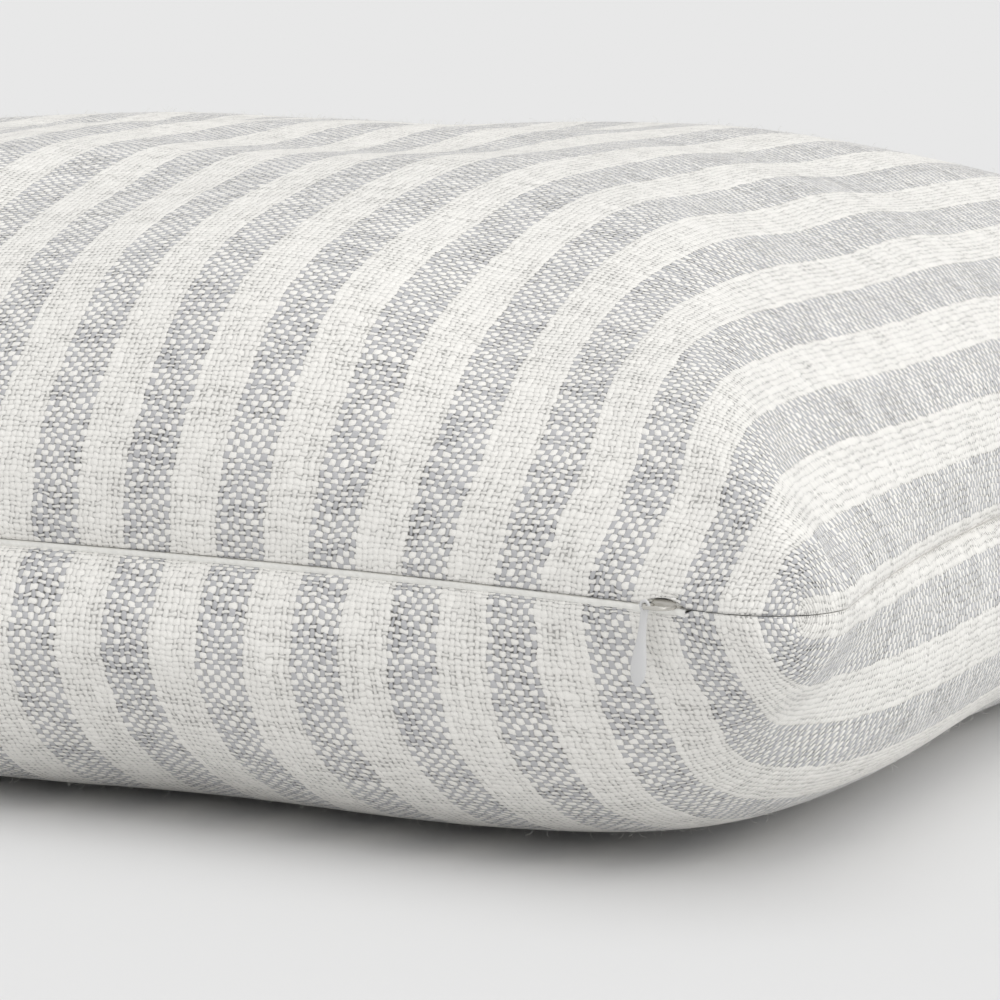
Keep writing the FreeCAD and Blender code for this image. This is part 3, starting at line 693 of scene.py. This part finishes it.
def path_object(name, *runs):
    """A curve object with one straight-sided spline for each run of points in millimetres."""
    curve = bpy.data.curves.new(name, "CURVE")
    curve.dimensions = "3D"
    for run in runs:
        spline = curve.splines.new("POLY")
        spline.points.add(len(run) - 1)
        rows = np.concatenate([np.asarray(run) * MM, np.ones((len(run), 1))], axis=1)
        spline.points.foreach_set("co", rows.astype(np.float32).ravel())
    return bpy.data.objects.new(name, curve)


def fine_pattern(name, code, spacing, depth, **finish):
    """A plain woven or spun finish: a colour, and fine ribs in a given spacing in mm."""
    material, tree, shader = surface_material(name, **finish)
    place = add(tree, "ShaderNodeTexCoord").node.outputs["Object"]
    ribs = add(tree, "ShaderNodeTexWave", place, named={
        "Scale": 0.314 / (spacing * MM), "Distortion": 1.5}, bands_direction="DIAGONAL").node
    speck = add(tree, NOISE, place, named={"Scale": 1 / (1.7 * MM), "Detail": 3.0})
    shade = add(tree, RANGE, speck, 0.3, 0.7, 0.93, 1.02)
    painted = add(tree, VECTOR, colour(code)[:3], operation="SCALE",
                  named={"Scale": shade})
    tree.links.new(painted, shader.inputs["Base Color"])
    bump = add(tree, "ShaderNodeBump", named={"Strength": 0.6, "Distance": depth * MM,
                                              "Height": ribs.outputs["Fac"]})
    tree.links.new(bump, shader.inputs["Normal"])
    return material


sewing_thread = fine_pattern("spun polyester thread", "F1F0EA", 0.5, 0.08, Roughness=0.7,
                             Sheen_Weight=0.1)
print("helpers ready, first finish:", sewing_thread.name)

# %% [markdown]
# A stitch is a short length of thread that dips into the cloth at both ends, so a slim grain of
# rice laid along the path is enough. Seams are sewn a few millimetres inside the fold.


# %% Stitch tree and coil tree
def stepped_path(tree, given):
    """Even steps along the path: their points, and rotations that turn Z along it."""
    steps = add(tree, "GeometryNodeCurveToPoints", given["Geometry"], named={
        "Length": given["Pitch"]}, mode="LENGTH").node
    heading = add(tree, "FunctionNodeAlignRotationToVector", named={
        "Vector": steps.outputs["Tangent"]}, axis="Z")
    return steps.outputs["Points"], heading


stitches, given = node_tree("stitches", Pitch=0.003, Length=0.0026, Thickness=0.0008)
steps, heading = stepped_path(stitches, given)
grain = add(stitches, "GeometryNodeMeshUVSphere", 6, 5, 0.5)
grain_size = add(stitches, "ShaderNodeCombineXYZ", given["Thickness"], given["Thickness"],
                 given["Length"])
laid = add(stitches, "GeometryNodeInstanceOnPoints", steps, named={
    "Instance": grain, "Rotation": heading, "Scale": grain_size})
close_tree(stitches, laid, sewing_thread)

# Extruded nylon: hard, smooth and slightly see-through, so it shines softly.
coil_nylon = surface_material("extruded nylon", Base_Color=colour("EFEFEB"), Roughness=0.32,
                              Subsurface_Weight=0.1)[0]
coil, given = node_tree("zip coil", Pitch=0.0013, Width=0.0012, Wire=0.00028)
steps, heading = stepped_path(coil, given)
leaning = add(coil, "FunctionNodeRotateRotation", heading, (0.22, 0.0, 0.0),
              rotation_space="LOCAL")
loop = add(coil, "GeometryNodeCurvePrimitiveCircle", named={"Resolution": 10}, mode="RADIUS")
coil.links.new(given["Width"], loop.node.inputs["Radius"])
wire = add(coil, "GeometryNodeCurvePrimitiveCircle", named={"Resolution": 5}, mode="RADIUS")
coil.links.new(given["Wire"], wire.node.inputs["Radius"])
turn_shape = add(coil, "GeometryNodeCurveToMesh", loop, wire)
laid = add(coil, "GeometryNodeInstanceOnPoints", steps, named={
    "Instance": turn_shape, "Rotation": leaning})
close_tree(coil, laid, coil_nylon)
print("trees:", [tree.name for tree in bpy.data.node_groups])

# %% [markdown]
# The zip is sewn along a true arc, the same arc that the slider runs on. The helper gives a
# point of the zip from its place along the arc, its depth behind the seam line and its height.
# Each tape is one folded ribbon: from the fold that shows in the gap, over the coil, to its
# stitched edge. The two sets of coil turns mesh in the middle.

# %% Zip tapes, coils and stitches
ZIP_RADIUS = edge_arc(ZIP_PULL)[0]
ZIP_CENTRE_Y = -(REACH - ZIP_PULL) - ZIP_RADIUS
UPPER_TAPE = ((1.5, 1.3), (1.25, 0.8), (1.4, 0.45), (2.6, 0.35), (5.6, 0.5), (6.0, 1.2),
              (5.9, 4.0), (5.6, 12.4))
LOWER_TAPE = ((0.95, -2.4), (0.6, -1.8), (0.42, -1.1), (0.5, -0.4), (0.95, -0.1),
              (2.6, -0.2), (5.6, -0.5), (6.0, -1.2), (5.9, -4.0), (5.6, -12.4))
TAPE_HALF = ZIP_HALF - 1.6
TAPE_THICKNESS = 0.4
TAPE_CLEARANCE = 2.4            # between the cloth and the tape's stitched edge
COIL_PLACE, STITCH_PLACE = (4.2, 1.75), (5.2, 8.4)      # depth, and height above or below
ZIP_END_GAP = 4.0               # the coils and their stitches stop this far inside the zip


def zip_points(along, depth, height):
    """Places on the zip: along the arc from its middle, behind the seam line, above it."""
    swing = np.asarray(along, float) / ZIP_RADIUS
    radius = ZIP_RADIUS + np.asarray(depth, float)
    return np.stack(np.broadcast_arrays(radius * np.sin(swing), ZIP_CENTRE_Y + radius
                                        * np.cos(swing), SEAM_Z + height), axis=-1)


def cloth_depth(along, height):
    """How far behind the seam line the cloth stands, at heights above or below the zip."""
    cut = np.linspace(-CUT_HALF, CUT_HALF, 800)
    u = np.interp(along, seam_share(cut / CUT_HALF, ZIP_PULL) * edge_length(ZIP_PULL), cut)
    u, tall = np.broadcast_arrays(u, np.abs(height))
    shape, side = (TOP, 1) if np.max(height) > -np.min(height) else (BASE, -1)
    place = panel_points(u, tall - CUT_HALF, shape, side)
    return np.hypot(place[..., 0], place[..., 1] - ZIP_CENTRE_Y) - ZIP_RADIUS


def zip_tape(name, section, node, material):
    """A folded ribbon along the zip, with a UV map of its own length and width."""
    along = np.linspace(-TAPE_HALF, TAPE_HALF, 220)
    depth, height = (np.array(part)[None, :] for part in zip(*section))
    cloth = cloth_depth(along[:, None], height)
    points = zip_points(along[:, None], np.where(np.abs(height) > 2.5, np.maximum(
        depth, cloth + TAPE_CLEARANCE), depth), height)
    count = len(section)
    number = np.arange(len(along) * count).reshape(len(along), count)
    quads = grid_quads(number)
    if section[-1][1] > 0:
        quads = quads[:, ::-1]
    mesh = smooth_mesh(name, points, quads.tolist(), material)
    width = np.concatenate([[0], np.cumsum(np.hypot(np.diff(depth[0]), np.diff(height[0])))])
    flat = np.stack(np.broadcast_arrays((along[:, None] / TAPE_HALF + 1) / 2,
                                        width[None, :] / width[-1]), -1).reshape(-1, 2)
    lay_uv(mesh, flat, quads)
    tape = linked(name, mesh)
    thicken(tape, TAPE_THICKNESS)
    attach(tape, "cover")
    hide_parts(node)
    print("%s: %.0f mm long, %.1f mm wide unfolded" % (name, 2 * TAPE_HALF, width[-1]))


tape_twill = fine_pattern("woven polyester twill", "F4F3EE", 0.9, 0.12, Roughness=0.75,
                          Sheen_Weight=0.15)
zip_tape("zip_tape_upper", UPPER_TAPE, "zipper_tape_upper", tape_twill)
zip_tape("zip_tape_lower", LOWER_TAPE, "zipper_tape_lower", tape_twill)
whole_zip = np.linspace(-ZIP_HALF + ZIP_END_GAP, ZIP_HALF - ZIP_END_GAP, 300)
for name, side in (("upper", 1), ("lower", -1)):
    coil_path, stitch_path = (path_object("zip path", zip_points(whole_zip, depth, side * off))
                              for depth, off in (COIL_PLACE, STITCH_PLACE))
    grow("zip_coil_" + name, coil_path, coil, "cover", ["zipper_coil_" + name], "zip_coil",
         Width=1.05 * MM)
    grow("zip_stitches_" + name, stitch_path, stitches, "cover", ["zip_stitch_" + name],
         "sewing_thread")

# %% Zip stops: carried over from the CAD model in nylon
for node in ("zipper_top_stops", "zipper_bottom_stop"):
    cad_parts[node].data.materials.clear()
    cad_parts[node].data.materials.append(coil_nylon)
print("stops finished in", coil_nylon.name)

# %% [markdown]
# The seam thread runs a little inside the seam on all four sides, apart from the zip's length.
# Each side's row of stitches is its own piece, as it is sewn on its own.

# %% Seam stitches
SEAM_INSET = 2.2
CORNER_GAP, ZIP_CORNER_GAP = 22, 24     # the stitches stop this far before a corner's tip


def edge_run(low, high, turns, pull, inset=SEAM_INSET, count=260):
    """Points along one side of the seam, inset, from and to given lengths from its middle."""
    share = np.linspace(low, high, count) / edge_length(pull)
    x, y = front_edge(share, pull)
    run = np.stack([x, y, np.full_like(x, SEAM_Z)], -1)
    inward = rim_inward(run)
    inward[[0, -1]] = inward[[1, -2]]
    run = run + inward * inset
    for _ in range(turns):
        run = np.stack([-run[:, 1], run[:, 0], run[:, 2]], -1)
    return run


for name, turns, pull in (("right", 1, SIDE_PULL), ("rear", 2, ZIP_PULL), ("left", 3, SIDE_PULL)):
    span = edge_length(pull) - CORNER_GAP
    grow("seam_stitches_" + name, path_object("seam path", edge_run(-span, span, turns, pull)),
         stitches, "cover", ["seam_thread_" + name], "sewing_thread")
short = edge_length(ZIP_PULL) - ZIP_CORNER_GAP
grow("seam_stitches_zip_ends", path_object(
    "seam path", edge_run(ZIP_HALF + 1, short, 0, ZIP_PULL, count=30),
    edge_run(-short, -ZIP_HALF - 1, 0, ZIP_PULL, count=30)), stitches, "cover",
    ["seam_thread_zip_ends"], "sewing_thread")

# %% [markdown]
# The slider is die-cast zinc in white enamel: a small boat-shaped body between the folds, open
# where the coils run, and a low bridge on its face that the pull hangs from. Only a sliver of it
# shows, so its rounded edges and the dark gaps round it matter more than its inside.

# %% Enamel finishes
# Enamel on cast metal: a smooth clear skin over white, so it mirrors the light in thin lines.
slider_enamel = surface_material(
    "white enamel on zinc", Base_Color=colour("CBC8C1"), Roughness=0.16, Metallic=0.35,
    Coat_Weight=0.6, Coat_Roughness=0.05)[0]
# The stamped pull has a satin skin: the same white with a broader, softer highlight.
pull_enamel = surface_material(
    "satin enamel on steel", Base_Color=colour("D9D9D9"), Roughness=0.34, Coat_Weight=0.25,
    Coat_Roughness=0.2)[0]
SLIDER_SWING = SLIDER_REST / ZIP_RADIUS
print("slider sits %.2f degrees round the arc" % math.degrees(SLIDER_SWING))


# %% Lofted metal parts
def loft(name, rings, body, node, material):
    """A closed smooth piece from stacked rings of points in millimetres."""
    count = len(rings[0])
    points = np.concatenate([np.concatenate(rings), [np.mean(rings[0], axis=0)],
                             [np.mean(rings[-1], axis=0)]])
    faces, start_cap, end_cap = [], len(rings) * count, len(rings) * count + 1
    for step in range(count):
        following = (step + 1) % count
        for ring in range(len(rings) - 1):
            low, high = ring * count, (ring + 1) * count
            faces.append((low + step, low + following, high + following, high + step))
        last = (len(rings) - 1) * count
        faces.append((start_cap, following, step))
        faces.append((end_cap, last + step, last + following))
    metal_piece(name, points, faces, body, node, material)


def metal_piece(name, points, faces, body, node, material):
    """A mesh from points and faces, its normals turned outward, on its body."""
    mesh = smooth_mesh(name, points, faces, material)
    shell = bmesh.new()
    shell.from_mesh(mesh)
    bmesh.ops.recalc_face_normals(shell, faces=shell.faces)
    shell.to_mesh(mesh)
    shell.free()
    piece = linked(name, mesh)
    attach(piece, body)
    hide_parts(node)
    print("%s: %d faces" % (name, len(mesh.polygons)))


def squared(wave, power):
    """A sine or cosine bent towards a square's sides: 2 leaves it round."""
    return np.sign(wave) * np.abs(wave) ** (2 / power)


def rounded_ring(along, depth, half_depth, half_height, power=3.2, count=28):
    """A rounded rectangle across the zip at one place along it."""
    angle = np.linspace(0, 2 * math.pi, count, endpoint=False)
    return zip_points(along, depth + half_depth * squared(np.cos(angle), power),
                      half_height * squared(np.sin(angle), power))


# %% Slider body, bridge and pull
BODY_HALF, BODY_DEPTH, BODY_TALL, BODY_BACK = 4.4, 2.5, 1.5, 3.3
hull = []
for share in np.sin(np.linspace(-math.pi / 2, math.pi / 2, 17)):
    slim = (1 - abs(share) ** 4) ** 0.25
    hull.append(rounded_ring(SLIDER_REST + share * BODY_HALF, BODY_BACK + 0.1 * share,
                             max(BODY_DEPTH * slim, 0.02), max(BODY_TALL * slim, 0.02)))
loft("slider_body", hull, "slider", "zipper_slider", slider_enamel)
# The bridge is a flat wire bent over the body, square enough to leave room for the pull's eye.
BRIDGE_HALF, BRIDGE_FOOT, BRIDGE_RISE, BRIDGE_POWER = 3.1, 1.5, 4.9, 5
BAR_HALF, BAR_TALL = 0.38, 0.45
bow = np.linspace(-math.pi / 2, math.pi / 2, 41)
bar_along = BRIDGE_HALF * squared(np.sin(bow), BRIDGE_POWER)
bar_depth = BRIDGE_FOOT - BRIDGE_RISE * squared(np.cos(bow), BRIDGE_POWER)
run = np.stack([np.gradient(bar_along), np.gradient(bar_depth)], -1)
run /= np.linalg.norm(run, axis=1, keepdims=True)
bar_turn = np.linspace(0, 2 * math.pi, 14, endpoint=False)
arch = [zip_points(SLIDER_REST + along - BAR_HALF * np.cos(bar_turn) * way[1],
                   depth + BAR_HALF * np.cos(bar_turn) * way[0], BAR_TALL * np.sin(bar_turn))
        for along, depth, way in zip(bar_along, bar_depth, run)]
loft("slider_bridge", arch, "slider", "zipper_slider", slider_enamel)

# %% [markdown]
# The pull is stamped flat and then pressed to a long drop: a small eye round the bridge's leg, a
# slim neck, and a wider lower half with a rounded tip. It is thickest in the middle, so its two
# faces catch the light differently. It hangs a few degrees off plumb.

# %% Pull
PULL_ALONG, PULL_DEPTH, PULL_LEAN = SLIDER_REST - BRIDGE_HALF, -1.9, math.radians(7)
# Rows of the drop: distance from the eye's middle, half width and half thickness.
DROP = ((0.9, 0.95, 0.36), (1.8, 1.1, 0.42), (3.6, 1.0, 0.48), (6.0, 1.12, 0.56),
        (8.6, 1.5, 0.64), (11.2, 1.95, 0.7), (13.6, 2.25, 0.68), (15.6, 2.15, 0.58),
        (17.0, 1.65, 0.42), (17.9, 0.95, 0.26), (18.3, 0.2, 0.06))


def pull_points(across, out, down):
    """Places on the pull, from its eye: sideways, off the cloth and downward along its lean."""
    along = PULL_ALONG + across * math.cos(PULL_LEAN) - down * math.sin(PULL_LEAN)
    height = -down * math.cos(PULL_LEAN) - across * math.sin(PULL_LEAN)
    return zip_points(along, PULL_DEPTH - out, height)


def smooth_rows(rows, count):
    """Rows of numbers drawn out into a smooth run of so many rows."""
    rows = np.array(rows)
    where = np.linspace(0, len(rows) - 1, count)
    spread = [np.interp(where, np.arange(len(rows)), column) for column in rows.T]
    for _ in range(4):
        for column in spread:
            column[1:-1] = (column[:-2] + 2 * column[1:-1] + column[2:]) / 4
    return np.stack(spread, -1)


ring_angle = np.linspace(0, 2 * math.pi, 24, endpoint=False)
drop_rings = [pull_points(wide * np.cos(ring_angle), thick * np.sin(ring_angle)
                          * (0.55 + 0.45 * np.abs(np.sin(ring_angle))), down)
              for down, wide, thick in smooth_rows(DROP, 60)]
loft("pull_drop", drop_rings, "pull", "zipper_pull", pull_enamel)
EYE_RADIUS, EYE_WIRE, EYE_STEPS, WIRE_STEPS = 1.12, 0.4, 28, 10
eye_turn, eye_tube = np.meshgrid(
    *(np.linspace(0, 2 * math.pi, count, endpoint=False) for count in (EYE_STEPS, WIRE_STEPS)),
    indexing="ij")
eye_reach = EYE_RADIUS + EYE_WIRE * np.cos(eye_tube)
eye_points = pull_points(eye_reach * np.cos(eye_turn), EYE_WIRE * np.sin(eye_tube),
                         eye_reach * np.sin(eye_turn)).reshape(-1, 3)
number = np.arange(EYE_STEPS * WIRE_STEPS).reshape(EYE_STEPS, WIRE_STEPS)
eye_faces = np.stack([number, np.roll(number, -1, 0), np.roll(np.roll(number, -1, 0), -1, 1),
                      np.roll(number, -1, 1)], -1).reshape(-1, 4).tolist()
metal_piece("pull_eye", eye_points, eye_faces, "pull", "zipper_pull",
            pull_enamel)

# %% [markdown]
# Inside the cover is a plain insert: two ticking shells sewn together round their edge, closed
# by a short hand seam at the rear, and packed with loose fibre. It is the cover's own shape,
# a little smaller, so it is made by the same rule and drawn in.

# %% Insert shells, fill and stitches
INSERT_STEPS = 84
ticking = fine_pattern("non-woven ticking", "F6F6F4", 0.6, 0.05, Roughness=0.85)
loose_fibre = fine_pattern("loose polyester fibre", "FAFAF9", 4.0, 1.2, Roughness=0.95,
                           Sheen_Weight=0.3)
TICKING_THICKNESS = 0.8
SHELL_SHRINK, SHELL_DROP = 1 - 13.8 / REACH, 2.0
FILL_SHRINK, FILL_DROP = 1 - 15.4 / REACH, 3.2


def shrunk(shape, side, shrink, drop):
    """The stuffed panel's grid, drawn in towards the middle of the pillow."""
    points = stuffed(INSERT_STEPS, shape, side)
    points[..., :2] *= shrink
    points[..., 2] = SEAM_Z + (points[..., 2] - SEAM_Z) * (1 - drop / shape["rise"])
    return points


def grid_piece(name, grids, node, material, wall=None):
    """A soft piece from one grid or two back to back, on the cover's body."""
    side = INSERT_STEPS + 1
    mesh = bpy.data.meshes.new(name)
    shell = bmesh.new()
    for points in grids:
        corners = [shell.verts.new(place * MM) for place in points.reshape(-1, 3)]
        for quad in grid_quads(np.arange(side * side).reshape(side, side)):
            shell.faces.new([corners[index] for index in quad])
    bmesh.ops.remove_doubles(shell, verts=shell.verts, dist=0.02 * MM)
    bmesh.ops.recalc_face_normals(shell, faces=shell.faces)
    if len(grids) == 1 and (sum(face.normal.z for face in shell.faces) > 0) != (
            grids[0][side // 2, side // 2, 2] > SEAM_Z):
        bmesh.ops.reverse_faces(shell, faces=shell.faces)
    shell.to_mesh(mesh)
    shell.free()
    mesh.shade_smooth()
    mesh.materials.append(material)
    piece = linked(name, mesh)
    if wall:
        thicken(piece, wall)
    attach(piece, "cover")
    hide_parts(node)
    print("%s: %d faces" % (name, len(mesh.polygons)))


grid_piece("insert_front", [shrunk(TOP, 1, SHELL_SHRINK, SHELL_DROP)], "insert_front_shell",
           ticking, wall=TICKING_THICKNESS)
grid_piece("insert_back", [shrunk(BASE, -1, SHELL_SHRINK, SHELL_DROP)], "insert_back_shell",
           ticking, wall=TICKING_THICKNESS)
grid_piece("fibre_fill", [shrunk(TOP, 1, FILL_SHRINK, FILL_DROP),
                          shrunk(BASE, -1, FILL_SHRINK, FILL_DROP)], "insert_fill",
           loose_fibre)
INSERT_INSET, CLOSING_HALF = 13.2, 75
insert_rows = [edge_run(-edge_length(pull) + 4, edge_length(pull) - 4, turns, pull,
                        inset=INSERT_INSET) for turns, pull in (
    (0, ZIP_PULL), (1, SIDE_PULL), (2, ZIP_PULL), (3, SIDE_PULL))]
grow("insert_seam_stitches", path_object("insert seam", *insert_rows), stitches, "cover",
     ["insert_seam_thread"], "sewing_thread")
closing = edge_run(-CLOSING_HALF, CLOSING_HALF, 2, ZIP_PULL, inset=INSERT_INSET - 1.4, count=60)
grow("closing_stitches", path_object("closing seam", closing), stitches, "cover",
     ["insert_closing_stitch"], "sewing_thread", Pitch=5 * MM, Length=4.2 * MM,
     Thickness=1.1 * MM)

# %% [markdown]
# A blank care label hangs inside, sewn into the rear seam. It is a short piece of satin ribbon
# with a slight curl.

# %% Care label
LABEL_WIDTH, LABEL_LENGTH, LABEL_CURL, LABEL_THICKNESS = 40.0, 18.0, 0.7, 0.25
LABEL_GRID = (25, 13)
satin = fine_pattern("satin ribbon", "F3F3F0", 0.5, 0.04, Roughness=0.42, Sheen_Weight=0.2)
label_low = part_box("care_label")[0]
label_s, label_t = np.meshgrid(*(np.linspace(0, 1, count) for count in LABEL_GRID),
                               indexing="ij")
label_points = np.stack([
    label_low[0] / MM + LABEL_WIDTH * label_s,
    label_low[1] / MM - LABEL_CURL * label_t ** 2 * np.cos(label_s * 5.0),
    label_low[2] / MM + LABEL_LENGTH * label_t], -1)
label_faces = grid_quads(np.arange(label_s.size).reshape(LABEL_GRID))
label = linked("care_ribbon", smooth_mesh("care_ribbon", label_points, label_faces.tolist(),
                                          satin))
thicken(label, LABEL_THICKNESS, offset=0)
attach(label, "cover")
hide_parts("care_label")
print("care ribbon %.0f by %.0f mm" % (LABEL_WIDTH, LABEL_LENGTH))

# %% [markdown]
# Slub yarn is loosely spun, so short fibre ends stand off the cloth and soften its outline.
# They are scattered over both panels by Geometry Nodes: a seeded spread of points, a bent hair
# of three segments on each, turned and scaled at random.

# %% Loose fibre ends
fibre_ends = surface_material("loose fibre ends", Base_Color=colour("F4F3EF"), Roughness=0.9,
                              Sheen_Weight=0.2)[0]
FIBRE_CLEAR = 4.0       # no fibres this near the floor, where the cloth is pressed flat
fuzz, given = node_tree("loose fibre ends", Density=26000.0, Radius=0.000035, Height=0.0011)
fibre_place = add(fuzz, "ShaderNodeSeparateXYZ", add(fuzz, "GeometryNodeInputPosition")).node
off_floor = add(fuzz, "GREATER_THAN", fibre_place.outputs["Z"], FIBRE_CLEAR * MM)
spread = add(fuzz, "GeometryNodeDistributePointsOnFaces", given["Geometry"], named={
    "Selection": off_floor, "Density": given["Density"], "Seed": 7}).node
tip = add(fuzz, "ShaderNodeCombineXYZ", 0.0017, 0.0004, given["Height"])
elbow = add(fuzz, "ShaderNodeCombineXYZ", 0.0004, 0.0, given["Height"])
hair = add(fuzz, "GeometryNodeCurveQuadraticBezier", 3, (0, 0, 0), elbow, tip)
hair_ring = add(fuzz, "GeometryNodeCurvePrimitiveCircle", named={"Resolution": 3},
                mode="RADIUS")
fuzz.links.new(given["Radius"], hair_ring.node.inputs["Radius"])
hair_tube = add(fuzz, "GeometryNodeCurveToMesh", hair, hair_ring)
spin = add(fuzz, "FunctionNodeRandomValue", (-0.5, -0.5, 0.0), (0.5, 0.5, 2 * math.pi),
           data_type="FLOAT_VECTOR", named={"Seed": 3})
spun = add(fuzz, "FunctionNodeRotateRotation", spread.outputs["Rotation"], spin,
           rotation_space="LOCAL")
size = add(fuzz, "FunctionNodeRandomValue", data_type="FLOAT", named={"Seed": 5}).node
size.inputs[2].default_value, size.inputs[3].default_value = 0.4, 1.25
laid = add(fuzz, "GeometryNodeInstanceOnPoints", spread.outputs["Points"], named={
    "Instance": hair_tube, "Rotation": spun, "Scale": size.outputs[1]})
close_tree(fuzz, laid, fibre_ends)
for panel in (front_panel, back_panel):
    grow(panel.name + "_fibre_ends", bpy.data.objects.new("fuzz source", panel.data.copy()),
         fuzz, "cover", [], "cover_cloth")

# %% [markdown]
# The studio is a pale floor without an edge in view, an even pale surround, and two very soft
# lights: a wide one overhead and a weaker one from the right. Soft light shows the weave's
# relief without hard shadows, and leaves a gentle shadow only where the pillow meets the floor.

# %% Floor and light
FLOOR_HALF, FLOOR_SHADE = 30.0, 0.8
floor_mesh = bpy.data.meshes.new("floor")
floor_mesh.from_pydata([(-FLOOR_HALF, -FLOOR_HALF, 0), (FLOOR_HALF, -FLOOR_HALF, 0),
                        (FLOOR_HALF, FLOOR_HALF, 0), (-FLOOR_HALF, FLOOR_HALF, 0)], [],
                       [(0, 1, 2, 3)])
floor = linked("floor", floor_mesh)
# Matt floor paint: it throws light back evenly and mirrors nothing.
floor_paint = surface_material("matt floor paint", Base_Color=(FLOOR_SHADE,) * 3 + (1,),
                               Roughness=1.0, Specular_IOR_Level=0.0)[0]
floor_mesh.materials.append(floor_paint)

surround = bpy.data.worlds.new("surround")
bpy.context.scene.world = surround
surround.use_nodes = True
sky = surround.node_tree.nodes["Background"]
sky.inputs["Color"].default_value = (1, 1, 1, 1)
sky.inputs["Strength"].default_value = 0.72

# Each light: strength, softness, and its heading and height in degrees.
for name, strength, softness, azimuth, height in (("overhead", 0.68, 70, 60, 70),
                                                  ("side fill", 0.65, 50, 80, 24)):
    lamp = bpy.data.lights.new(name, "SUN")
    lamp.energy, lamp.angle = strength, math.radians(softness)
    light = linked(name, lamp)
    heading, rise = math.radians(azimuth), math.radians(height)
    away = Vector((math.sin(heading) * math.cos(rise), -math.cos(heading) * math.cos(rise),
                   math.sin(rise)))
    light.rotation_euler = away.to_track_quat("Z", "Y").to_euler()
bpy.context.scene.view_settings.view_transform = "Standard"
print("lights:", [item.name for item in bpy.data.lights])
